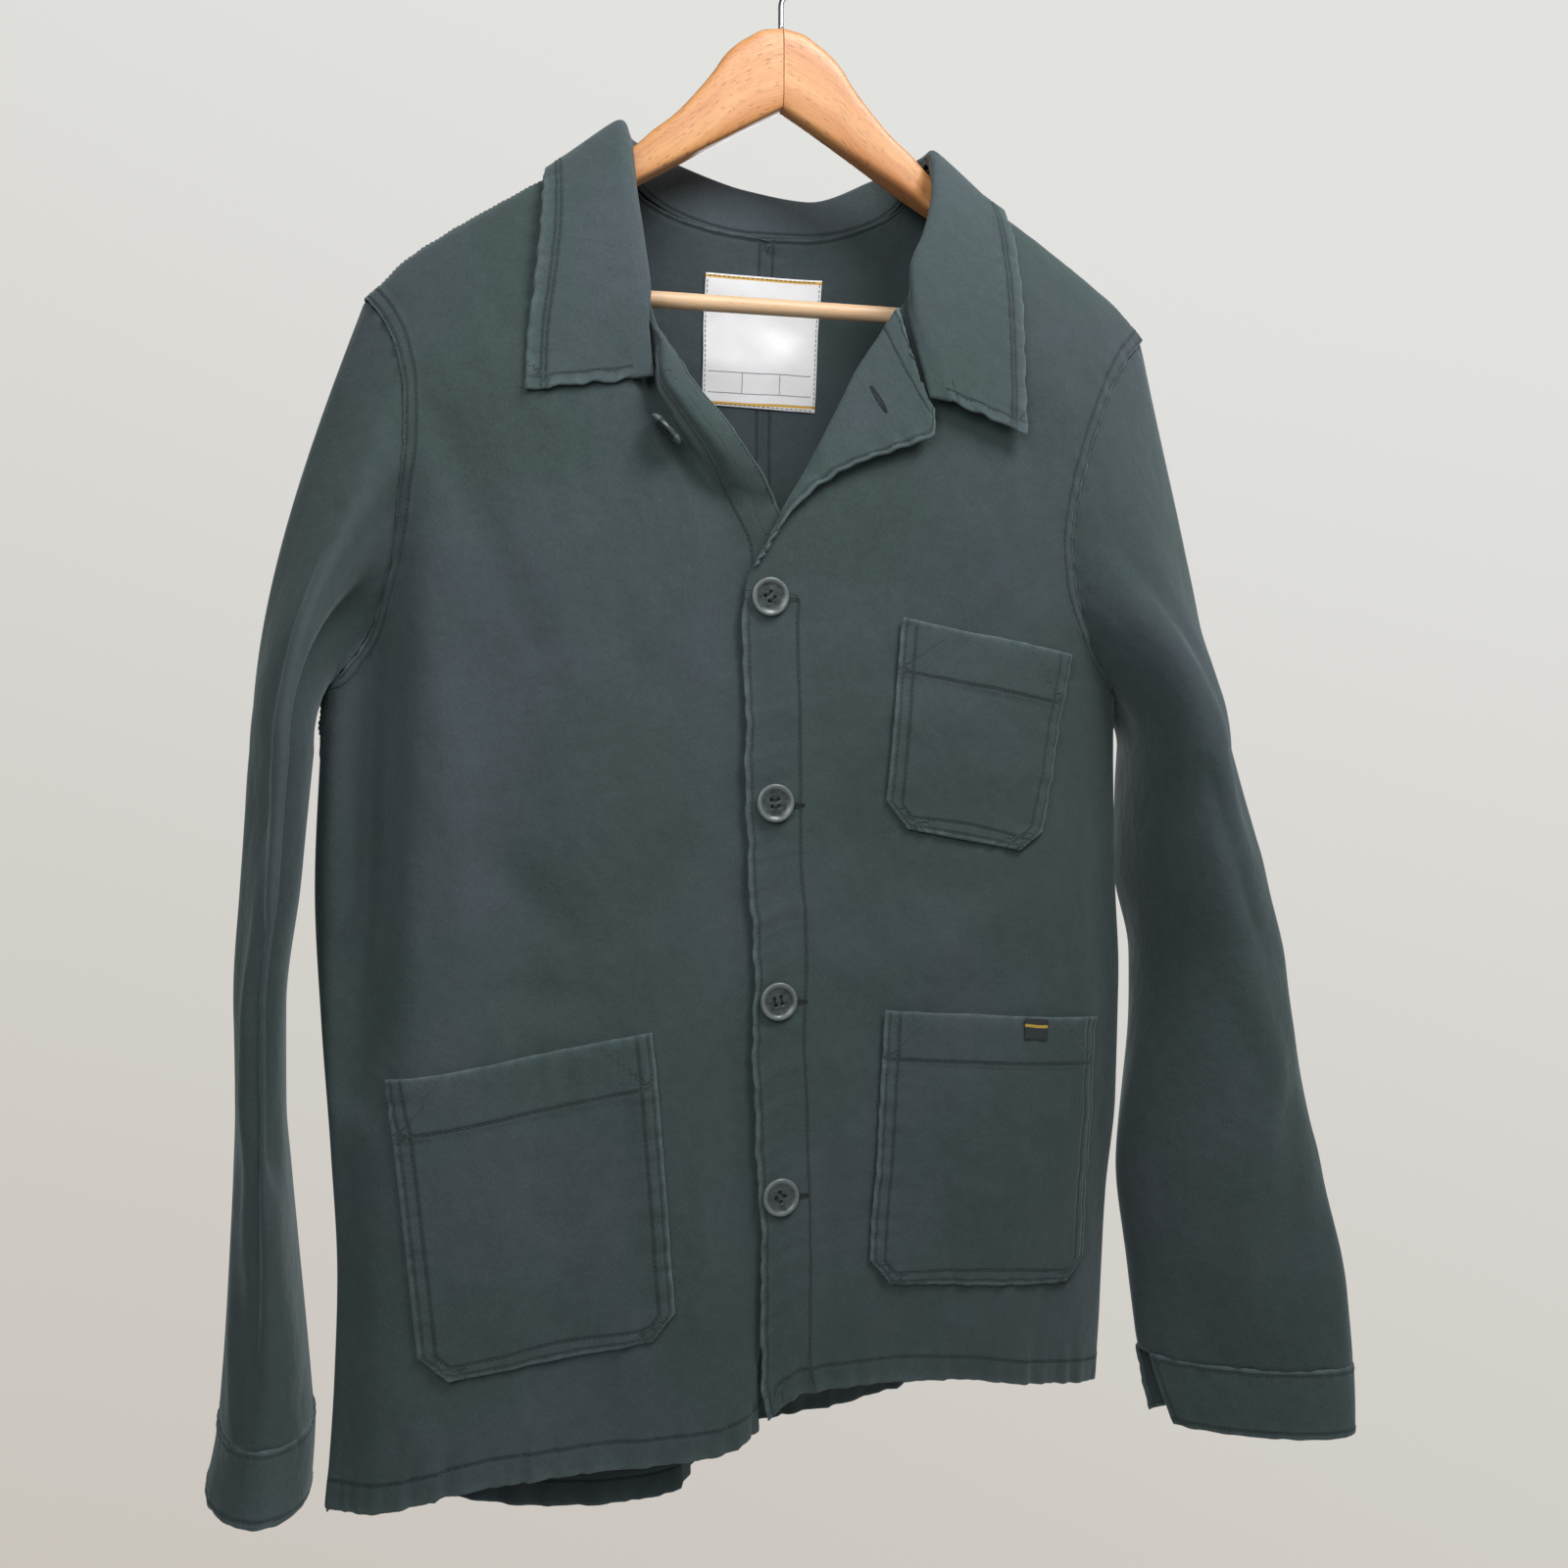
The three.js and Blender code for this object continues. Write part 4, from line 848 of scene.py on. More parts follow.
# A piece of cloth from its grid; keeps what the stitches and trims on it need.
def makeCloth(
        name, grid, material, slot, node, edges, seed,
        thickness=jacket["cloth"], looped=False, direction=None):
    normal = outward(grid, looped, direction)
    grid, near, far, worn = sewGrid(grid, normal, edges, seed)
    normal = outward(grid, looped, direction)
    mesh = clothMesh(name, grid, normal, thickness, looped, near, far, worn)
    piece = place(name, mesh, material, slot, [node])
    return {"piece": piece, "grid": grid, "normal": normal, "thickness": thickness, "edges": edges}


# The line on a cloth at an inset from one of its sides: points and normals.
def insetLine(cloth, side, inset, part=(0, 1), trim=0):
    grid = cloth["grid"]
    normal = cloth["normal"]
    away = sideDistance(grid, side)
    points = []
    normals = []
    if side in ("hem", "top"):
        grid, normal, away = [np.swapaxes(values, 0, 1) for values in (grid, normal, away)]
    for line, facing, run in zip(grid, normal, away):
        if run[0] > run[-1]:
            line, facing, run = line[::-1], facing[::-1], run[::-1]
        points.append([np.interp(inset, run, line[:, a]) for a in range(3)])
        normals.append([np.interp(inset, run, facing[:, a]) for a in range(3)])
    points = np.array(points)
    normals = np.array(normals)
    share = alongSide(cloth["grid"], side).reshape(-1)
    total = share[-1]
    keep = (share >= part[0] * total + trim) & (share <= part[1] * total - trim)
    return points[keep], unit(normals[keep])


stitch = {"pitch": 3.1, "length": 2.45, "radius": 0.27, "sides": 5}


# One mesh of stitches laid along several lines: (points, normals, lift off the line).
def stitchMesh(name, lines):
    allVerts = []
    allFaces = []
    count = 0
    profile = [(-0.5, 0.45, -0.22), (-0.3, 0.9, 0.06), (0, 1, 0.14), (0.3, 0.9, 0.06), (0.5, 0.45, -0.22)]
    around = 2 * math.pi * np.arange(stitch["sides"]) / stitch["sides"]
    for points, normals, lift in lines:
        run = np.append(0, np.cumsum(np.linalg.norm(np.diff(points, axis=0), axis=1)))
        if len(run) < 2 or run[-1] < stitch["pitch"]:
            continue
        centres = np.arange(stitch["pitch"] / 2, run[-1] - stitch["length"] / 2, stitch["pitch"])
        read = lambda at, data: np.stack([np.interp(at, run, data[:, a]) for a in range(3)], -1)
        centre = read(centres, points)
        facing = unit(read(centres, normals))
        heading = unit(read(centres + 0.8, points) - read(centres - 0.8, points))
        sideways = unit(np.cross(facing, heading))
        rings = []
        for along, width, rise in profile:
            middle = centre + heading * along * stitch["length"] + facing * (lift + rise)
            for angle in around:
                spoke = sideways * math.cos(angle) + facing * math.sin(angle)
                rings.append(middle + spoke * stitch["radius"] * width)
        rings = np.stack(rings, 1)
        size = rings.shape[1]
        block = ringQuads(np.arange(size).reshape(len(profile), -1))
        starts = count + size * np.arange(len(centre))
        allFaces.append((block[None] + starts[:, None, None]).reshape(-1, 4))
        allVerts.append(rings.reshape(-1, 3))
        count += size * len(centre)
    return newMesh(name, np.concatenate(allVerts), np.concatenate(allFaces)[:, ::-1].tolist())


# Stitch rows of all the sewn edges of a cloth, on its outer side.
def edgeStitches(name, cloth, trim=2.0, extra=()):
    lines = []
    lift = cloth["thickness"] / 2
    for edge in cloth["edges"]:
        for inset in edge["rows"]:
            points, normals = insetLine(cloth, edge["side"], inset, edge["part"], trim)
            if len(points) > 3:
                lines.append((points, normals, lift))
    lines += list(extra)
    return place(name, stitchMesh(name, lines), threadMaterial, None)


# A round tube along a line, closed where the line is.
def tubeMesh(name, points, radius, sides=10, closed=False):
    points = np.asarray(points, float)
    if closed:
        heading = unit(np.roll(points, -1, 0) - np.roll(points, 1, 0))
    else:
        heading = unit(np.gradient(points, axis=0))
    radius = np.broadcast_to(np.asarray(radius, float), (len(points),))
    up = np.array([0.13, 0.97, 0.21])
    first = unit(up - heading * np.sum(up * heading, -1, keepdims=True))
    second = np.cross(heading, first)
    around = 2 * math.pi * np.arange(sides) / sides
    rings = points[:, None] + radius[:, None, None] * (
        first[:, None] * np.cos(around)[None, :, None] + second[:, None] * np.sin(around)[None, :, None])
    index = np.arange(len(points) * sides).reshape(len(points), sides)
    if closed:
        faces = ringQuads(np.append(index, index[:1], 0)).tolist()
    else:
        faces = ringQuads(index).tolist() + [index[0][::-1].tolist(), index[-1].tolist()]
    return newMesh(name, rings.reshape(-1, 3), faces)


def joinMeshes(name, meshes):
    verts = []
    faces = []
    for mesh in meshes:
        start = len(verts)
        verts += [v.co[:] for v in mesh.vertices]
        faces += [[start + k for k in polygon.vertices] for polygon in mesh.polygons]
        bpy.data.meshes.remove(mesh)
    mesh = bpy.data.meshes.new(name)
    mesh.from_pydata(verts, [], faces)
    mesh.polygons.foreach_set("use_smooth", [True] * len(mesh.polygons))
    return mesh


# Shaders: small helpers, then one function for each group and material.

# Gives a node's inputs their values: plain values as they are, sockets as links.
def feed(tree, node, values):
    for label, value in values.items():
        if isinstance(value, (tuple, float, int)):
            node.inputs[label].default_value = value
        else:
            tree.links.new(value, node.inputs[label])
    return node


def addNode(tree, kind, values, **settings):
    node = tree.nodes.new("ShaderNode" + kind)
    for label, value in settings.items():
        setattr(node, label, value)
    return feed(tree, node, values)


def calc(tree, operation, *values, clamp=False):
    return addNode(tree, "Math", dict(enumerate(values)), operation=operation, use_clamp=clamp).outputs[0]


def noiseOf(tree, vector, scale, detail, rough):
    values = {"Vector": vector, "Scale": scale, "Detail": detail, "Roughness": rough}
    return addNode(tree, "TexNoise", values).outputs["Fac"]


def stretch(tree, vector, scale):
    return addNode(tree, "VectorMath", {0: vector, 1: scale}, operation="MULTIPLY").outputs[0]


def splitOf(tree, vector):
    return addNode(tree, "SeparateXYZ", {0: vector}).outputs


def rangeOf(tree, value, low, high, toLow, toHigh):
    values = {"Value": value, "From Min": low, "From Max": high, "To Min": toLow, "To Max": toHigh}
    return addNode(tree, "MapRange", values).outputs["Result"]


def mixColour(tree, factor, a, b, blend="MIX"):
    values = {"Factor": factor, "A": a, "B": b}
    return addNode(tree, "Mix", values, data_type="RGBA", blend_type=blend).outputs["Result"]


def bumpOf(tree, height, distance, after=None):
    node = addNode(tree, "Bump", {"Height": height, "Distance": distance, "Strength": 1.0})
    if after is not None:
        tree.links.new(after, node.inputs["Normal"])
    return node.outputs["Normal"]


def attributeOf(tree, name):
    return addNode(tree, "Attribute", {}, attribute_name=name).outputs["Fac"]


# Inputs by their default value: a vector has none. Outputs by their kind.
def newGroup(name, inputs, outputs):
    kinds = {type(None): "Vector", float: "Float", tuple: "Color"}
    group = bpy.data.node_groups.new(name, "ShaderNodeTree")
    for label, value in inputs.items():
        kind = "NodeSocket" + kinds[type(value)]
        socket = group.interface.new_socket(name=label, in_out="INPUT", socket_type=kind)
        if value is not None:
            socket.default_value = value
    for label, kind in outputs.items():
        group.interface.new_socket(name=label, in_out="OUTPUT", socket_type="NodeSocket" + kind)
    return group, group.nodes.new("NodeGroupInput").outputs, group.nodes.new("NodeGroupOutput")


# Brushed satin weave: fine slanting threads under a short nap.
def makeWeaveGroup():
    inputs = {"UV": None, "Threads per m": 1900.0, "Nap": 0.5}
    group, given, out = newGroup("napped weave", inputs, {"Height": "Float", "Grain": "Float"})
    split = splitOf(group, given["UV"])
    turns = calc(group, "MULTIPLY", given["Threads per m"], 2 * math.pi)
    u = calc(group, "MULTIPLY", split["X"], turns)
    v = calc(group, "MULTIPLY", split["Y"], turns)
    warp = calc(group, "SINE", calc(group, "MULTIPLY_ADD", v, 0.35, u))
    weft = calc(group, "SINE", calc(group, "MULTIPLY_ADD", u, 0.2, v))
    threads = calc(group, "MULTIPLY_ADD", warp, 0.34, calc(group, "MULTIPLY", weft, 0.16))
    nap = noiseOf(group, stretch(group, given["UV"], (900, 500, 1)), 1.0, 3.0, 0.6)
    soft = calc(group, "MULTIPLY", nap, given["Nap"])
    feed(group, out, {"Height": calc(group, "ADD", threads, soft), "Grain": nap})
    return group


# A groove along each stitch row, from the signed distances that the mesh carries; it dents the cloth and
# also darkens its colour as painted shade.
def makeGrooveGroup():
    inputs = {"Near": 60.0, "Far": 60.0, "Width": 1.1}
    group, given, out = newGroup("stitch groove", inputs, {"Groove": "Float"})
    parts = []
    for label in ("Near", "Far"):
        ratio = calc(group, "DIVIDE", given[label], given["Width"])
        square = calc(group, "MULTIPLY", ratio, ratio)
        parts.append(calc(group, "POWER", 2.718, calc(group, "MULTIPLY", square, -1.0)))
    feed(group, out, {"Groove": calc(group, "MAXIMUM", *parts)})
    return group


# Colour of dyed cotton: mottled, with painted shade darkening the stitch grooves, paler where it is worn.
def makeDyeAndShadeGroup():
    inputs = {
        "Cloth": (0.05, 0.07, 0.07, 1), "Worn": (0.1, 0.13, 0.13, 1), "Wear": 0.0, "Groove": 0.0,
        "Grain": 0.5, "Position": None, "Mottle": 0.3,
    }
    group, given, out = newGroup("garment colour and groove shade", inputs, {"Color": "Color", "Roughness": "Float"})
    broad = noiseOf(group, given["Position"], 7.0, 3.0, 0.55)
    close = noiseOf(group, given["Position"], 120.0, 5.0, 0.7)
    lumps = calc(group, "MULTIPLY_ADD", broad, 0.5, calc(group, "MULTIPLY", close, 0.5))
    mottled = calc(group, "MULTIPLY", calc(group, "SUBTRACT", lumps, 0.5), given["Mottle"])
    grainy = calc(group, "MULTIPLY", calc(group, "SUBTRACT", given["Grain"], 0.5), 0.75)
    lift = calc(group, "ADD", calc(group, "ADD", mottled, grainy), 1.0)
    # Painted shade: the colour is darkened by up to 42% along the stitch grooves.
    dark = calc(group, "MULTIPLY_ADD", given["Groove"], -0.42, 1.0)
    level = calc(group, "MULTIPLY", lift, dark)
    grey = addNode(group, "CombineColor", {0: level, 1: level, 2: level}).outputs[0]
    greenish, reddish = (0.93, 1.02, 0.96, 1), (1.06, 0.99, 1.08, 1)
    hue = mixColour(group, rangeOf(group, broad, 0.38, 0.62, 0, 1), greenish, reddish)
    tinted = mixColour(group, 1.0, given["Cloth"], hue, "MULTIPLY")
    shaded = mixColour(group, 1.0, tinted, grey, "MULTIPLY")
    patchy = rangeOf(group, close, 0.3, 0.65, 0.35, 1.0)
    rubbed = calc(group, "MULTIPLY", given["Wear"], patchy, clamp=True)
    feed(group, out, {
        "Color": mixColour(group, rubbed, shaded, given["Worn"]),
        "Roughness": rangeOf(group, lumps, 0.3, 0.7, 0.86, 0.96),
    })
    return group


# Straight wood grain with short dark flecks, along the first axis of the given vector.
def makeGrainGroup():
    inputs = {"Along": None, "Pale": (0.7, 0.4, 0.2, 1), "Deep": (0.4, 0.18, 0.08, 1), "Flecks": 0.5}
    outputs = {"Color": "Color", "Height": "Float", "Roughness": "Float"}
    group, given, out = newGroup("wood grain", inputs, outputs)
    bands = noiseOf(group, stretch(group, given["Along"], (5, 60, 60)), 1.0, 4.0, 0.6)
    fibres = noiseOf(group, stretch(group, given["Along"], (40, 900, 900)), 1.0, 3.0, 0.6)
    specks = noiseOf(group, stretch(group, given["Along"], (150, 1300, 1300)), 1.0, 1.0, 0.5)
    fleck = calc(group, "MULTIPLY", rangeOf(group, specks, 0.62, 0.72, 0.0, 1.0), given["Flecks"])
    tone = calc(group, "MULTIPLY_ADD", bands, 0.75, calc(group, "MULTIPLY", fibres, 0.25))
    base = mixColour(group, rangeOf(group, tone, 0.35, 0.68, 0.0, 1.0), given["Pale"], given["Deep"])
    fleckColour = (0.16, 0.06, 0.025, 1)
    feed(group, out, {
        "Color": mixColour(group, fleck, base, fleckColour),
        "Height": calc(group, "SUBTRACT", fibres, fleck),
        "Roughness": rangeOf(group, fibres, 0.3, 0.7, 0.36, 0.52),
    })
    return group


weaveGroup = makeWeaveGroup()
grooveGroup = makeGrooveGroup()
dyeAndShadeGroup = makeDyeAndShadeGroup()
grainGroup = makeGrainGroup()


def srgb(r, g, b):
    line = [(c / 255 / 12.92 if c <= 10 else ((c / 255 + 0.055) / 1.055) ** 2.4) for c in (r, g, b)]
    return (*line, 1)


# A material, its node tree, its shader and the outputs of its texture coordinates.
def newMaterial(name):
    material = bpy.data.materials.new(name)
    material.use_nodes = True
    tree = material.node_tree
    return material, tree, tree.nodes["Principled BSDF"], tree.nodes.new("ShaderNodeTexCoord").outputs


def useGroup(tree, group, values):
    return addNode(tree, "Group", values, node_tree=group).outputs


# The height of each bump in metres, from broad to fine.
clothLook = {
    "threads": 1500.0, "nap": 0.9, "mottle": 0.95, "sheen": 0.22, "groove": 0.0005, "rumple": 0.0026,
    "slub": 0.00042, "weave": 0.00004,
}


def clothMaterial(name, cloth, worn):
    material, tree, shader, where = newMaterial(name)
    weave = useGroup(tree, weaveGroup, {
        "UV": where["UV"], "Threads per m": clothLook["threads"], "Nap": clothLook["nap"],
    })
    rows = {"Near": attributeOf(tree, "rowNear"), "Far": attributeOf(tree, "rowFar")}
    groove = useGroup(tree, grooveGroup, rows)["Groove"]
    # The groove mask also paints shade into the colour along the stitch rows.
    dyeAndShade = useGroup(tree, dyeAndShadeGroup, {
        "Cloth": cloth, "Worn": worn, "Wear": attributeOf(tree, "worn"), "Groove": groove,
        "Grain": weave["Grain"], "Position": where["Object"], "Mottle": clothLook["mottle"],
    })
    slub = noiseOf(tree, stretch(tree, where["Object"], (150, 150, 150)), 1.0, 4.0, 0.62)
    rumple = noiseOf(tree, stretch(tree, where["Object"], (26, 26, 19)), 1.0, 4.0, 0.55)
    normal = bumpOf(tree, calc(tree, "MULTIPLY", groove, -1.0), clothLook["groove"])
    normal = bumpOf(tree, rumple, clothLook["rumple"], normal)
    normal = bumpOf(tree, slub, clothLook["slub"], normal)
    normal = bumpOf(tree, weave["Height"], clothLook["weave"], normal)
    feed(tree, shader, {
        "Base Color": dyeAndShade["Color"], "Roughness": dyeAndShade["Roughness"], "Normal": normal,
        "Sheen Weight": clothLook["sheen"], "Sheen Roughness": 0.45, "Sheen Tint": (0.75, 0.9, 0.92, 1),
        "Specular IOR Level": 0.28,
    })
    return material


dyes = {
    "moleskin": srgb(59, 70, 71), "rubbed": srgb(98, 113, 115), "facing": srgb(64, 75, 77),
    "thread": srgb(64, 75, 77), "buttonThread": srgb(34, 40, 42),
}
moleskin = clothMaterial("moleskin", dyes["moleskin"], dyes["rubbed"])
doubledMoleskin = clothMaterial("doubled moleskin", dyes["facing"], dyes["rubbed"])


def makeThread(name, colour):
    material, tree, shader, where = newMaterial(name)
    twist = noiseOf(tree, where["Object"], 2400.0, 2.0, 0.6)
    deep = tuple(0.55 * c for c in colour[:3]) + (1,)
    feed(tree, shader, {
        "Base Color": mixColour(tree, rangeOf(tree, twist, 0.3, 0.7, 0, 1), deep, colour),
        "Roughness": rangeOf(tree, twist, 0.3, 0.7, 0.55, 0.8),
        "Normal": bumpOf(tree, twist, 0.0001),
        "Specular IOR Level": 0.35,
    })
    return material


threadMaterial = makeThread("sewing thread", dyes["thread"])
darkThread = makeThread("button thread", dyes["buttonThread"])


# Clouded resin; a paler ring of colour at the rim is a painted highlight.
def makeHorn():
    material, tree, shader, where = newMaterial("button resin")
    cloud = noiseOf(tree, where["Object"], 240.0, 4.0, 0.6)
    streak = noiseOf(tree, stretch(tree, where["Object"], (300, 300, 1100)), 1.0, 2.0, 0.5)
    both = calc(tree, "MULTIPLY_ADD", cloud, 0.6, calc(tree, "MULTIPLY", streak, 0.4))
    split = splitOf(tree, where["Generated"])
    squares = [calc(tree, "POWER", calc(tree, "SUBTRACT", split[axis], 0.5), 2.0) for axis in "XZ"]
    # Painted highlight: a mask for a pale ring of colour round the button's raised rim.
    rim = rangeOf(tree, calc(tree, "ADD", *squares), 0.13, 0.17, 0, 1)
    resin = mixColour(tree, rangeOf(tree, both, 0.35, 0.68, 0, 1), srgb(38, 44, 45), srgb(76, 84, 85))
    feed(tree, shader, {
        # The pale rim colour is mixed in here as a painted highlight.
        "Base Color": mixColour(tree, calc(tree, "MULTIPLY", rim, 0.6), resin, srgb(118, 126, 127)),
        "Roughness": rangeOf(tree, cloud, 0.3, 0.7, 0.26, 0.42),
        "Normal": bumpOf(tree, streak, 0.00004),
        "Coat Weight": 0.15,
    })
    return material


def makeWood(name, pale, deep, flecks, gloss):
    material, tree, shader, where = newMaterial(name)
    grain = useGroup(tree, grainGroup, {"Along": where["UV"], "Pale": pale, "Deep": deep, "Flecks": flecks})
    feed(tree, shader, {
        "Base Color": grain["Color"], "Roughness": grain["Roughness"],
        "Normal": bumpOf(tree, grain["Height"], 0.00006), "Coat Weight": gloss, "Coat Roughness": 0.3,
    })
    return material


def makeSteel():
    material, tree, shader, where = newMaterial("hook steel")
    drawn = noiseOf(tree, stretch(tree, where["UV"], (40, 2600, 1)), 1.0, 3.0, 0.6)
    feed(tree, shader, {
        "Base Color": mixColour(tree, drawn, srgb(150, 152, 155), srgb(200, 202, 205)),
        "Roughness": rangeOf(tree, drawn, 0.3, 0.7, 0.2, 0.36),
        "Normal": bumpOf(tree, drawn, 0.00003),
        "Metallic": 1.0,
    })
    return material


# 1 where a value lies within half a width of a centre.
def bandAt(tree, axis, centre, half):
    away = calc(tree, "ABSOLUTE", calc(tree, "SUBTRACT", axis, centre))
    return calc(tree, "LESS_THAN", away, half)


def between(tree, axis, low, high):
    above = calc(tree, "GREATER_THAN", axis, low)
    return calc(tree, "MULTIPLY", above, calc(tree, "LESS_THAN", axis, high))


# Woven satin: white ground, a gold line at each end and plain dark rules.
satin = {
    "length": 0.082, "width": 0.075, "goldAt": 0.0016, "goldHalf": 0.0009, "ruleHalf": 0.00028,
    "uprightHalf": 0.00025, "ruleRows": (0.74, 0.9), "uprights": (0.34, 0.67),
}


def makeSatin():
    material, tree, shader, where = newMaterial("label satin")
    split = splitOf(tree, where["UV"])
    u, v = split["X"], split["Y"]
    length, width = satin["length"], satin["width"]
    lowRow, highRow = [length * share for share in satin["ruleRows"]]

    def bothBands(axis, places, half):
        return calc(tree, "MAXIMUM", *[bandAt(tree, axis, place, half) for place in places])

    ground = noiseOf(tree, stretch(tree, where["UV"], (2400, 500, 1)), 1.0, 2.0, 0.6)
    gold = bothBands(v, (satin["goldAt"], length - satin["goldAt"]), satin["goldHalf"])
    inside = between(tree, u, 0.003, width - 0.004)
    rules = bothBands(v, (lowRow, highRow), satin["ruleHalf"])
    upright = bothBands(u, [width * share for share in satin["uprights"]], satin["uprightHalf"])
    rules = calc(tree, "MAXIMUM", rules, calc(tree, "MULTIPLY", upright, between(tree, v, lowRow, highRow)))
    colour = mixColour(tree, ground, srgb(222, 222, 224), srgb(243, 243, 245))
    colour = mixColour(tree, calc(tree, "MULTIPLY", rules, inside), colour, srgb(120, 124, 130))
    feed(tree, shader, {
        "Base Color": mixColour(tree, gold, colour, srgb(206, 160, 62)),
        "Roughness": rangeOf(tree, ground, 0.3, 0.7, 0.36, 0.5),
        "Normal": bumpOf(tree, ground, 0.00005),
        "Sheen Weight": 0.2,
    })
    return material


# Ribbed tape with one gold line.
def makeTab():
    material, tree, shader, where = newMaterial("tab weave")
    v = splitOf(tree, where["UV"])["Y"]
    ribs = calc(tree, "SINE", calc(tree, "MULTIPLY", v, 2 * math.pi * 1800))
    colour = mixColour(tree, rangeOf(tree, ribs, -1, 1, 0, 1), srgb(30, 38, 42), srgb(44, 54, 58))
    feed(tree, shader, {
        "Base Color": mixColour(tree, bandAt(tree, v, 0.0085, 0.0009), colour, srgb(196, 160, 60)),
        "Roughness": rangeOf(tree, ribs, -1, 1, 0.6, 0.8),
        "Normal": bumpOf(tree, ribs, 0.00012),
    })
    return material


hornMaterial = makeHorn()
armWood = makeWood("hanger wood", srgb(214, 158, 102), srgb(184, 116, 64), 0.8, 0.25)
barWood = makeWood("bar wood", srgb(232, 200, 164), srgb(212, 170, 128), 0.25, 0.05)
hookSteel = makeSteel()
labelSatin = makeSatin()
tabWeave = makeTab()
print("materials ready")


# The jacket's cloth
ahead = (0, -1, 0)
behind = (0, 1, 0)
armholeRows = sewnEdge("outer", [2.2, 8.6], 0.7, 0.65, 10, (0.585, 1), 0.45)
hemRow = sewnEdge("hem", [15], 0.3, 1.6, 12, worn=0.5)
shoulderRow = sewnEdge("top", [2.5], 0.3, 0.2, part=(0.0, 0.98))

frontRight = makeCloth(
    "right_front", frontRightGrid(), moleskin, "moleskin", "front_right", direction=ahead, seed=11,
    edges=[
        armholeRows, hemRow, shoulderRow, sewnEdge("inner", [2.4], 0.1, 0.7, 10, (0, 0.86), 0.8, 0.8),
        sewnEdge("inner", [31], 0, 0.3, 11, (0.3, 0.86)),
    ])
frontLeft = makeCloth(
    "left_front", frontLeftGrid(), moleskin, "moleskin", "front_left", direction=ahead, seed=23,
    edges=[
        armholeRows, hemRow, shoulderRow, sewnEdge("inner", [3.4, 33.5], 0.12, 0.85, 9, (0, 0.6), 0.9, 1.2),
    ])
backEdges = [armholeRows, hemRow, sewnEdge("inner", [4.2], 0.3, 0.5, 11), sewnEdge("top", [2.5], 0.2, 0.2)]
backRight = makeCloth(
    "right_back", backGrid(-1), moleskin, "moleskin", "back_right", backEdges, 31, direction=behind)
backLeft = makeCloth(
    "left_back", backGrid(1), moleskin, "moleskin", "back_left", backEdges, 37, direction=behind)
print("body panels made")

# The leaf's upper side is the one that looks forwards on the wearer's right leaf.
collarLeaf = {"station": 20, "column": -10}
collarShape = collarGrid()
leafNormal = outward(collarShape, False, behind)[collarLeaf["station"], collarLeaf["column"]]
collarFlip = leafNormal[1] > 0
if collarFlip:
    collarShape = collarShape[::-1]
collarEnds = sewnEdge("hem", [6.2], 0.2, 1.1, 8, (0.17, 1), 1.0, 1.0)
collarCloth = makeCloth(
    "collar_cloth", collarShape, doubledMoleskin, "moleskin", "collar", seed=41,
    thickness=jacket["doubled"], edges=[
        sewnEdge("inner", [7.6, 10.4], 0.15, 0.6, 10, worn=0.8, wave=0.6),
        collarEnds,
        {**collarEnds, "side": "top"},
        sewnEdge("outer", [2.4], 0.4, 0.3, 11, (0.27, 0.73)),
    ])
lapelCloth = makeCloth(
    "left_lapel", lapelGrid(), doubledMoleskin, "moleskin_facing", "facing_left", seed=43,
    thickness=jacket["doubled"], direction=ahead, edges=[
        sewnEdge("inner", [2.6], 0.1, 0.8, 8, worn=1.0, wave=0.8),
        sewnEdge("top", [3.4, 16], 0.2, 0.6, 8, worn=1.0, wave=0.6),
    ])
sleeveCloth = {}
cuffCloth = {}
for k, (sideName, sleeve) in enumerate(sleeves.items()):
    sleeveCloth[sideName] = makeCloth(
        sideName + "_sleeve", sleeveGrid(sleeve), moleskin, "moleskin", "sleeve_" + sideName, looped=True,
        seed=51 + k, edges=[sewnEdge("hem", [], 0, 0.5, 12), sewnEdge("top", [], 0, 0.5, 12)])
    cuffCloth[sideName] = makeCloth(
        sideName + "_cuff", cuffGrid(sleeve), doubledMoleskin, "moleskin", "cuff_" + sideName,
        thickness=jacket["doubled"], seed=57 + k, edges=[
            sewnEdge("hem", [3.0], 0.25, 0.6, 10, worn=0.5),
            sewnEdge("top", [3.4], 0.2, 0.4, 11, worn=0.7, wave=0.4),
            *[sewnEdge(side, [3.4], 0.1, 0.3, 9, worn=0.6) for side in ("outer", "inner")],
        ])
pocketCloth = {}
for k, (label, pocket) in enumerate(pockets.items()):
    pocketCloth[label] = makeCloth(
        label + "_pocket", pocketGrid(pocket), moleskin, "moleskin", "pocket_" + label, direction=ahead,
        seed=63 + k, edges=[
            *[sewnEdge(side, [2.8, 9.2], 0.2, 0.75, 9, worn=0.75) for side in ("outer", "inner", "top")],
            sewnEdge("hem", [pocket["hem"] - 2], 0.2, 0.5, 11, worn=0.6),
        ])
print("collar, sleeves, cuffs and pockets made")

edgeStitches("right_front_stitches", frontRight)
edgeStitches("left_front_stitches", frontLeft)
for label, cloth in (("right_back", backRight), ("left_back", backLeft)):
    points, normals = insetLine(cloth, "inner", 4.2, trim=2)  # the felled seam's row on the inside
    edgeStitches(label + "_stitches", cloth, extra=[(points, -normals, cloth["thickness"] / 2)])
edgeStitches("collar_stitches", collarCloth, 6)
edgeStitches("lapel_stitches", lapelCloth, 3)
for label, cloth in cuffCloth.items():
    edgeStitches(label + "_cuff_stitches", cloth, 3)
for label, cloth in pocketCloth.items():
    edgeStitches(label + "_pocket_stitches", cloth, 2)
print("stitch rows laid")

# Neck label and pocket tab
neckLabel = {"tl": (-39, -207), "tr": (37, -207), "bl": (-40, -288), "br": (34, -290), "thickness": 0.5}


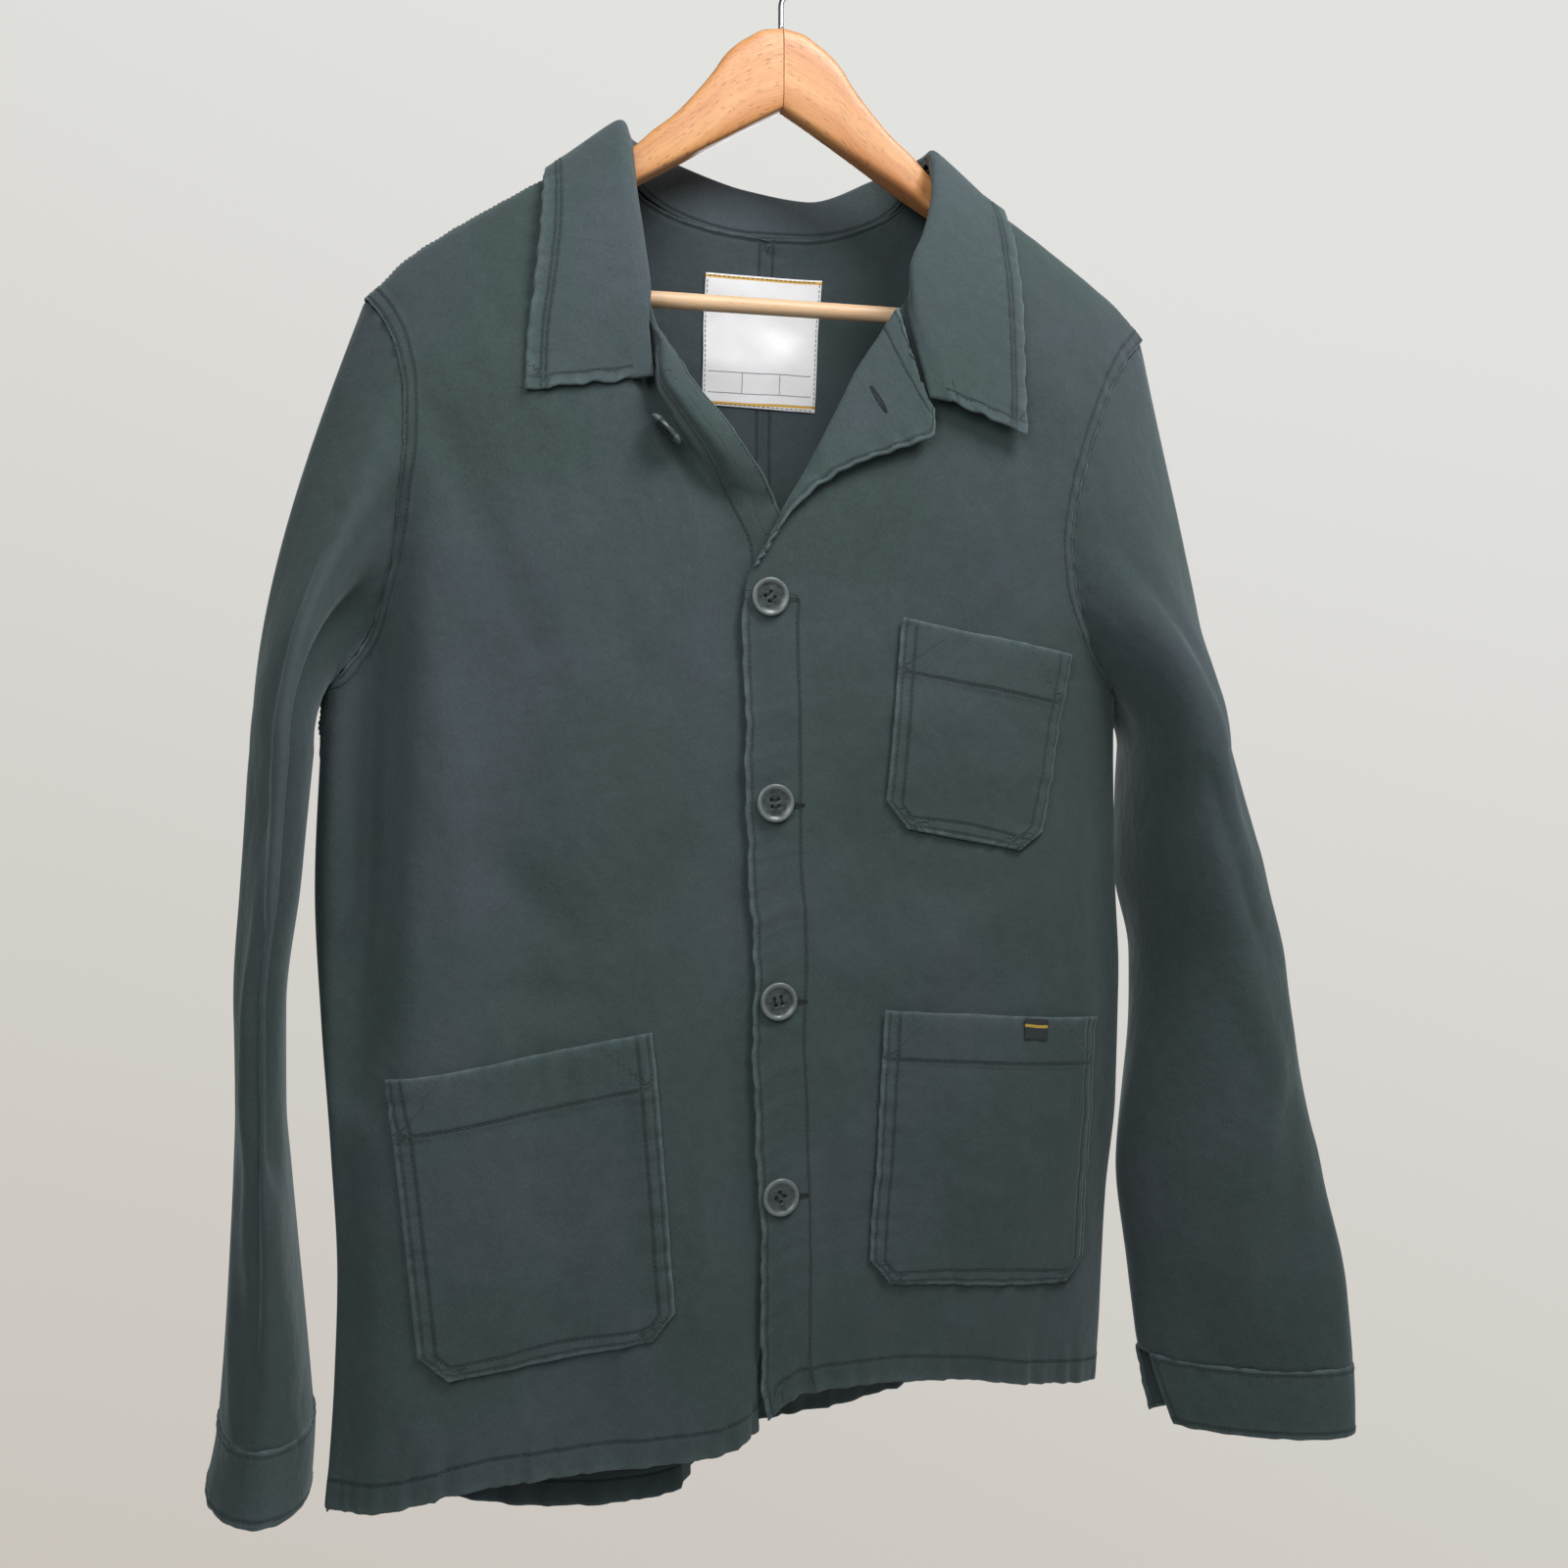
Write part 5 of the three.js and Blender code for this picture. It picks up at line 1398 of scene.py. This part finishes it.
def labelGrid():
    u = edgeKeys(34, 75)[None, :, None]
    v = edgeKeys(38, 82)[:, None, None]
    tl, tr, bl, br = (np.array(neckLabel[k], float) for k in ["tl", "tr", "bl", "br"])
    p = mix(mix(tl, tr, u), mix(bl, br, u), v)
    x, z = p[..., 0], p[..., 1]
    soft = 0.35 * ripple(x, z, 26, 71) * np.sin(math.pi * v[..., 0])
    return np.stack([x, bodyY(1, x, z) - 1.9 + soft, z], -1)


labelCloth = makeCloth(
    "label_cloth", labelGrid()[::-1], labelSatin, "label_satin", "neck_label", seed=71, direction=ahead,
    thickness=neckLabel["thickness"],
    edges=[sewnEdge(side, [1.2], 0, 0.15, 9) for side in ("hem", "top", "outer", "inner")])
edgeStitches("label_stitches", labelCloth, 1)

tab = {"x": (143, 159), "z": (-673, -686), "lift": 2.3, "thickness": 0.7}


def tabGrid():
    u = edgeKeys(10, 16, (0.8,))[None]
    v = edgeKeys(8, 13, (0.8,))[:, None]
    x = mix(tab["x"][0], tab["x"][1], u) + 0 * v
    z = mix(tab["z"][0], tab["z"][1], v) - 2 * u
    return liftOff(x, z, jacket["pocketLift"] + tab["lift"] + 0 * x)


tabCloth = makeCloth(
    "woven_tab", tabGrid(), tabWeave, "tab_weave", "pocket_tab", edges=[], seed=73,
    thickness=tab["thickness"], direction=ahead)


# Buttons with a rim, a dished face, four holes and their thread
button = {"radius": 11.3, "holeRadius": 1.05, "holeReach": 2.0, "holeDepth": 1.5, "sides": 72}


def buttonMesh(name):
    r = button["radius"]
    profile = [
        (0, 0), (4, 0), (r - 2.6, 0.05), (r - 1.2, 0.6), (r - 0.35, 1.5), (r, 2.2), (r - 0.15, 2.9),
        (r - 0.7, 3.3), (r - 1.3, 3.4), (r - 2.0, 3.2), (r - 2.7, 2.6), (r - 3.6, 2.2), (r - 4.6, 2.05),
    ]
    rimPoints = len(profile) - 1
    profile = np.array(profile + [(k, 2.0) for k in np.arange(r - 4.9, 0.2, -0.3)] + [(0, 2.0)])
    angle = 2 * math.pi * np.arange(button["sides"]) / button["sides"]
    x = profile[:, :1] * np.cos(angle)
    y = profile[:, :1] * np.sin(angle)
    h = np.repeat(profile[:, 1:], len(angle), 1)
    face = (np.arange(len(profile)) >= rimPoints)[:, None]
    for sx in (-1, 1):
        for sy in (-1, 1):
            away = np.hypot(x - sx * button["holeReach"], y - sy * button["holeReach"])
            sunk = 1 - smoothStep(away, button["holeRadius"] * 0.7, button["holeRadius"] * 1.15)
            h = h - face * button["holeDepth"] * sunk
    points = np.stack([x, h, y], -1)
    points = np.concatenate([points[0, :1], points[1:-1].reshape(-1, 3), points[-1, :1]])
    index = 1 + np.arange(len(points) - 2).reshape(-1, len(angle))
    after = np.roll(index, -1, 1)
    faces = ringQuads(index).tolist()
    faces += [[0, int(n), int(k)] for k, n in zip(index[0], after[0])]
    faces += [[len(points) - 1, int(k), int(n)] for k, n in zip(index[-1], after[-1])]
    return newMesh(name, points, faces)


def buttonThread(name):
    reach = button["holeReach"]
    bars = []
    for sx in (-1, 1):
        for shift in (-0.28, 0.28):
            t = np.linspace(-1, 1, 9)
            x = np.full(9, sx * reach + shift)
            lift = 2.1 + 0.35 * (1 - t ** 4) - 1.4 * np.abs(t) ** 8
            bars.append(tubeMesh("bar", np.stack([x, lift, reach * 1.05 * t], -1), 0.26, 8))
    shank = np.stack([np.zeros(5), np.linspace(-1.2, 0.4, 5), np.zeros(5)], -1)
    bars.append(tubeMesh("bar", shank, 1.6, 12))
    return joinMeshes(name, bars)


# A button and its thread, turned so that its face looks the given way.
def placeButton(name, node, facing, middle, spin=0):
    turn = Vector((0, 1, 0)).rotation_difference(Vector(facing).normalized()).to_matrix()
    turn = (turn @ Matrix.Rotation(math.radians(spin), 3, "Y")).to_4x4()
    for suffix, make, material in (("", buttonMesh, hornMaterial), ("_thread", buttonThread, darkThread)):
        mesh = make(name + suffix)
        mesh.transform(turn)
        mesh.transform(Matrix.Translation(Vector(middle) / 1000))
        place(mesh.name, mesh, material, None if suffix else "button_resin", [] if suffix else [node])


buttonPlaces = [(-19.5, -418), (-16.5, -538.5), (-14.5, -655), (-13.5, -771)]
buttonSpins = [12, -4, 8, 30]
buttonLift = 1.6  # back of a button above the middle of the front
for k, (x, z) in enumerate(buttonPlaces):
    across = onBody(-1, x + 6, z) - onBody(-1, x - 6, z)
    along = onBody(-1, x, z + 6) - onBody(-1, x, z - 6)
    facing = np.cross(across, along)
    node = "button_%d" % (k + 1)
    placeButton("front_" + node, node, facing, liftOff(x, z, buttonLift), buttonSpins[k])
placeButton("neck_button", "button_5", (-0.69, 0.13, -0.69), (-79.8, -58.2, -323.7))

# Buttonholes: a worked slot of thread beside each button
hole = {"reach": 10.5, "half": 1.5, "thick": 0.42, "shift": 8.0, "drop": 1.5, "lift": 0.95, "cutLift": 0.85}


def slotLine():
    t = 2 * math.pi * np.arange(64) / 64
    x = hole["reach"] * np.cos(t)
    x = np.sign(x) * np.minimum(np.abs(x) * 1.12, hole["reach"])
    return x, hole["half"] * np.sin(t)


slots = []
for x, z in buttonPlaces:
    sx, sz = slotLine()
    ring = liftOff(x + hole["shift"] + sx, z - hole["drop"] + sz, hole["lift"] + 0 * sx)
    slots.append(tubeMesh("slot", ring, hole["thick"], 8, True))
    cutX = np.linspace(-hole["reach"] * 0.9, hole["reach"] * 0.9, 12)
    cut = liftOff(x + hole["shift"] + cutX, z - hole["drop"] + 0 * cutX, hole["cutLift"] + 0 * cutX)
    slots.append(tubeMesh("slot", cut, 0.5, 8))
place("front_buttonholes", joinMeshes("front_buttonholes", slots), darkThread, None)

# The lapel's buttonhole, on the lapel's own surface
lapelHole = {
    "t": 0.75, "u": 0.42, "reach": 9, "half": 1.3, "lift": 1.3, "cutLift": 1.15, "heading": (8.0, 0, -14.0),
}
rows, cols = lapelCloth["grid"].shape[:2]
spot = int(lapelHole["t"] * (rows - 1)), int(lapelHole["u"] * (cols - 1))
centre = lapelCloth["grid"][spot]
facing = lapelCloth["normal"][spot]
heading = np.array(lapelHole["heading"])
heading = unit(heading - facing * np.dot(heading, facing))
long = heading * lapelHole["reach"]
short = np.cross(facing, heading) * lapelHole["half"]
t = np.arange(48)[:, None] / 48 * 2 * math.pi
ring = centre + facing * lapelHole["lift"] + np.cos(t) * long + np.sin(t) * short
cut = centre + facing * lapelHole["cutLift"] + np.linspace(-0.9, 0.9, 12)[:, None] * long
slots = [tubeMesh("slot", ring, 0.4, 8, True), tubeMesh("slot", cut, 0.5, 8)]
place("lapel_buttonhole", joinMeshes("lapel_buttonhole", slots), darkThread, None)
print("buttons and buttonholes made")

# Hanger
armTable = curves(["x", "top", "bottom", "half"], [
    [0.2, -69.8, -118, 7.5], [12, -71.8, -124.6, 7.7], [20, -76.3, -129.2, 7.9], [28, -81.8, -133.9, 8.1],
    [36, -89.6, -138.6, 8.4], [43, -100, -142.7, 8.7], [53, -112.6, -148.5, 9.1], [68, -129, -157.3, 9.8],
    [80, -138.7, -164.3, 10], [92, -149.5, -171.3, 9], [105, -157.2, -178.4, 9], [143, -179, -202, 9],
    [176, -199.5, -222, 9], [197.4, -212.7, -231.5, 9], [198.3, -213.2, -246, 9], [208, -222, -248, 8.6],
    [214, -227.5, -246.5, 7], [217, -233, -241, 4],
])
arm = {"corner": 0.36, "ring": 40, "stations": 110}


def armMesh(name, side):
    marks = [0.5, 197.4, 197.8, 198.3, 216.6, 217]  # where the arm steps down to its end
    x = np.unique(np.concatenate([np.linspace(0.2, 216, arm["stations"]), marks]))
    angle = 2 * math.pi * (np.arange(arm["ring"]) + 0.5) / arm["ring"]
    soft = lambda t: np.sign(t) * np.abs(t) ** arm["corner"]  # rounds the corners of a rectangle
    y = armTable("half", x)[:, None] * soft(np.cos(angle))
    z = mix(armTable("bottom", x)[:, None], armTable("top", x)[:, None], (1 + soft(np.sin(angle))) / 2)
    verts = np.stack([side * x[:, None] + 0 * y, y, z], -1)
    index = np.arange(y.size).reshape(y.shape)
    faces = ringQuads(index).tolist() + [index[0][::-1].tolist(), index[-1].tolist()]
    if side < 0:
        faces = [face[::-1] for face in faces]
    mesh = newMesh(name, verts.reshape(-1, 3), faces)
    middle = (armTable("top", x) + armTable("bottom", x)) / 2
    run = np.append(0, np.cumsum(np.hypot(np.diff(x), np.diff(middle))))
    flatU = (run[:, None] + 0 * y).reshape(-1) / 1000
    flatV = ((z - middle[:, None]) + y * 0.8).reshape(-1) / 1000 + 0.05 * (2 + side)
    corners = cornersOf(mesh)
    writeUv(mesh, "grain", flatU[corners], flatV[corners])
    mesh.polygons.foreach_set("use_smooth", [len(face) == 4 for face in faces])
    return mesh


arms = []
for sideName, side in (("right", -1), ("left", 1)):
    node = "hanger_arm_" + sideName
    place(node + "_wood", armMesh(node + "_wood", side), armWood, "hanger_wood", [node])
    arms.append(node + "_wood")


def tubeUv(mesh, sides, length):
    corners = cornersOf(mesh)
    rings = len(mesh.vertices) // sides
    writeUv(mesh, "grain", (corners // sides) / rings * length, (corners % sides) / sides * 0.03)


# The bar's two ends are chamfered
barX = np.concatenate([[-197, -196.6], np.linspace(-195.5, 195.5, 60), [196.6, 197]])
barRadius = np.full(len(barX), 5.0)
barRadius[[0, -1]] = 4.2
barRadius[[1, -2]] = 4.7
bar = tubeMesh("hanger_bar_wood", np.stack([barX, 0 * barX, 0 * barX - 237], -1), barRadius, 32)
tubeUv(bar, 32, 0.394)
place("hanger_bar_wood", bar, barWood, "bar_wood", ["hanger_bar"])

hook = {"wire": 1.7, "bend": 23, "foot": -69.3}


def hookLine():
    ring = hook["bend"] + hook["wire"]
    point = lambda a: np.stack([ring * np.cos(a), 0 * a, -hook["bend"] + ring * np.sin(a)], -1)
    start = math.radians(-62)
    first = point(np.array(start))
    stem = np.stack([np.zeros(8), np.zeros(8), np.linspace(hook["foot"], -56.5, 8)], -1)
    a, b = np.array([0, 0, -56.0]), np.array([0, 0, -48.0])
    c = first + np.array([-6, 0, -3.2])
    t = np.linspace(0, 1, 24)[:, None]
    curve = (1 - t) ** 3 * a + 3 * t * (1 - t) ** 2 * b + 3 * t * t * (1 - t) * c + t ** 3 * first
    bend = point(np.linspace(start, math.radians(200), 90))[1:]
    return np.concatenate([stem, curve, bend])


hookWire = hookLine()
hookRadius = np.full(len(hookWire), hook["wire"])
hookRadius[-1] = 0.9
hookRadius[-2] = 1.4
hookMesh = tubeMesh("hanger_hook_wire", hookWire, hookRadius, 20)
tubeUv(hookMesh, 20, 0.18)
place("hanger_hook_wire", hookMesh, hookSteel, "hook_steel", ["hanger_hook"])
print("hanger made")

# What each sheet was cut to, in metres
panels = ["right_front", "left_front", "right_back", "left_back"]
cuts = [
    (frontRight, (0.33, 0.78), 0.194, arms), (frontLeft, (0.29, 0.78), 0.176, arms),
    (backRight, (0.31, 0.83), 0.221, arms), (backLeft, (0.27, 0.83), 0.185, arms),
    (collarCloth, (0.69, 0.10), 0.049, panels), (lapelCloth, (0.17, 0.05), 0.0042, ["left_front"]),
    (sleeveCloth["right"], (0.40, 0.60), 0.172, panels), (sleeveCloth["left"], (0.42, 0.62), 0.195, panels),
    (cuffCloth["right"], (0.28, 0.045), 0.0105, ["right_sleeve"]),
    (cuffCloth["left"], (0.32, 0.045), 0.0123, ["left_sleeve"]),
    (pocketCloth["hip_right"], (0.155, 0.185), 0.0256, ["right_front"]),
    (pocketCloth["hip_left"], (0.155, 0.185), 0.0263, ["left_front"]),
    (pocketCloth["chest"], (0.118, 0.13), 0.0138, ["left_front"]),
    (labelCloth, (0.076, 0.084), 0.0063, ["right_back", "left_back"]),
    (tabCloth, (0.017, 0.016), 0.00024, ["hip_left_pocket"]),
]
for cloth, flat, area, rests in cuts:
    steps = np.linalg.norm(np.cross(
        np.gradient(cloth["grid"], axis=1), np.gradient(cloth["grid"], axis=0)), axis=-1).sum() / 1e6
    print(cloth["piece"].name, "area about", round(float(steps), 5), "stated", area)
    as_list(rests)

# Floor, light and camera
studio = {
    "floorZ": -2.2, "floorY": 0.1, "floorRadius": 1.85, "floorSides": 96, "floorGlow": 0.42,
    "floorColour": srgb(214, 211, 207), "skyLow": srgb(201, 195, 187), "skyHigh": srgb(226, 226, 223),
    "fill": srgb(236, 238, 240), "fillDark": 0.09, "fillBright": 0.42,
}


def paleFloor():
    sides, radius = studio["floorSides"], studio["floorRadius"]
    verts = [(0, studio["floorY"], studio["floorZ"])]
    for r, sink in ((0.4, 0), (0.9, 0), (radius - 0.02, 0), (radius, 0.01)):
        for k in range(sides):
            a = 2 * math.pi * k / sides
            verts.append((r * math.cos(a), studio["floorY"] + r * math.sin(a), studio["floorZ"] - sink))
    index = 1 + np.arange(len(verts) - 1).reshape(-1, sides)
    faces = [(0, 1 + k, 1 + (k + 1) % sides) for k in range(sides)]
    faces += ringQuads(index)[:, [0, 3, 2, 1]].tolist()
    mesh = bpy.data.meshes.new("floor")
    mesh.from_pydata(verts, [], faces)
    floor = bpy.data.objects.new("floor", mesh)
    bpy.context.scene.collection.objects.link(floor)
    material, tree, shader, where = newMaterial("pale floor")
    cloud = noiseOf(tree, where["Object"], 3.0, 3.0, 0.5)
    feed(tree, shader, {
        "Base Color": mixColour(tree, cloud, studio["floorColour"], srgb(224, 222, 219)), "Roughness": 0.8,
        "Emission Color": studio["floorColour"], "Emission Strength": studio["floorGlow"],
    })
    mesh.materials.append(material)
    floor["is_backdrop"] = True


# A pale backdrop for the camera; the fill light grows towards the picture's right.
def makeWorld():
    world = bpy.data.worlds.new("studio")
    bpy.context.scene.world = world
    world.use_nodes = True
    sky = world.node_tree
    background = sky.nodes["Background"]
    split = splitOf(sky, sky.nodes.new("ShaderNodeTexCoord").outputs["Generated"])
    height = rangeOf(sky, calc(sky, "MULTIPLY_ADD", split["X"], 0.35, split["Z"]), -0.55, 0.45, 0, 1)
    feed(sky, background, {"Color": mixColour(sky, height, studio["skyLow"], studio["skyHigh"])})
    fill = rangeOf(sky, split["X"], -0.2, 0.9, studio["fillDark"], studio["fillBright"])
    dim = addNode(sky, "Background", {"Color": studio["fill"], "Strength": fill})
    seen = addNode(sky, "LightPath", {}).outputs["Is Camera Ray"]
    blend = addNode(sky, "MixShader", {0: seen, 1: dim.outputs[0], 2: background.outputs[0]})
    feed(sky, sky.nodes["World Output"], {"Surface": blend.outputs[0]})


def areaLight(name, power, size, location, aim):
    data = bpy.data.lights.new(name, "AREA")
    data.energy = power
    data.shape = "DISK"
    data.size = size
    light = bpy.data.objects.new(name, data)
    bpy.context.scene.collection.objects.link(light)
    light.location = location
    light.visible_camera = False
    light.rotation_euler = (Vector(aim) - Vector(location)).to_track_quat("-Z", "Y").to_euler()


paleFloor()
makeWorld()
areaLight("window", 13.5, 0.6, (0.42, -0.72, 0.52), (0.1, 0, -0.12))
areaLight("side", 3, 1.3, (2.1, -0.5, -0.1), (0.15, 0, -0.55))
areaLight("front", 8.7, 0.8, (-0.52, -1.05, 0.0), (0, 0, -0.35))
areaLight("rear", 36, 1.6, (0.6, 2.2, 0.5), (0, 0, -0.5))
bpy.context.scene.view_settings.view_transform = "Standard"

view = {"lens": 36, "sensor": 36, "from": (-0.2329, -0.94163, -0.4985), "tilt": 88.2, "heading": -14}
camera = bpy.data.objects.new("camera", bpy.data.cameras.new("camera"))
camera.data.lens = view["lens"]
camera.data.sensor_width = view["sensor"]
camera.location = view["from"]
camera.rotation_euler = (math.radians(view["tilt"]), 0, math.radians(view["heading"]))
bpy.context.scene.collection.objects.link(camera)
bpy.context.scene.camera = camera

bpy.context.view_layer.update()
plain = lambda box: [[float(c) for c in corner] for corner in box]
{"cad": plain(cadBox), "visual": plain(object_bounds())}
print("scene ready")
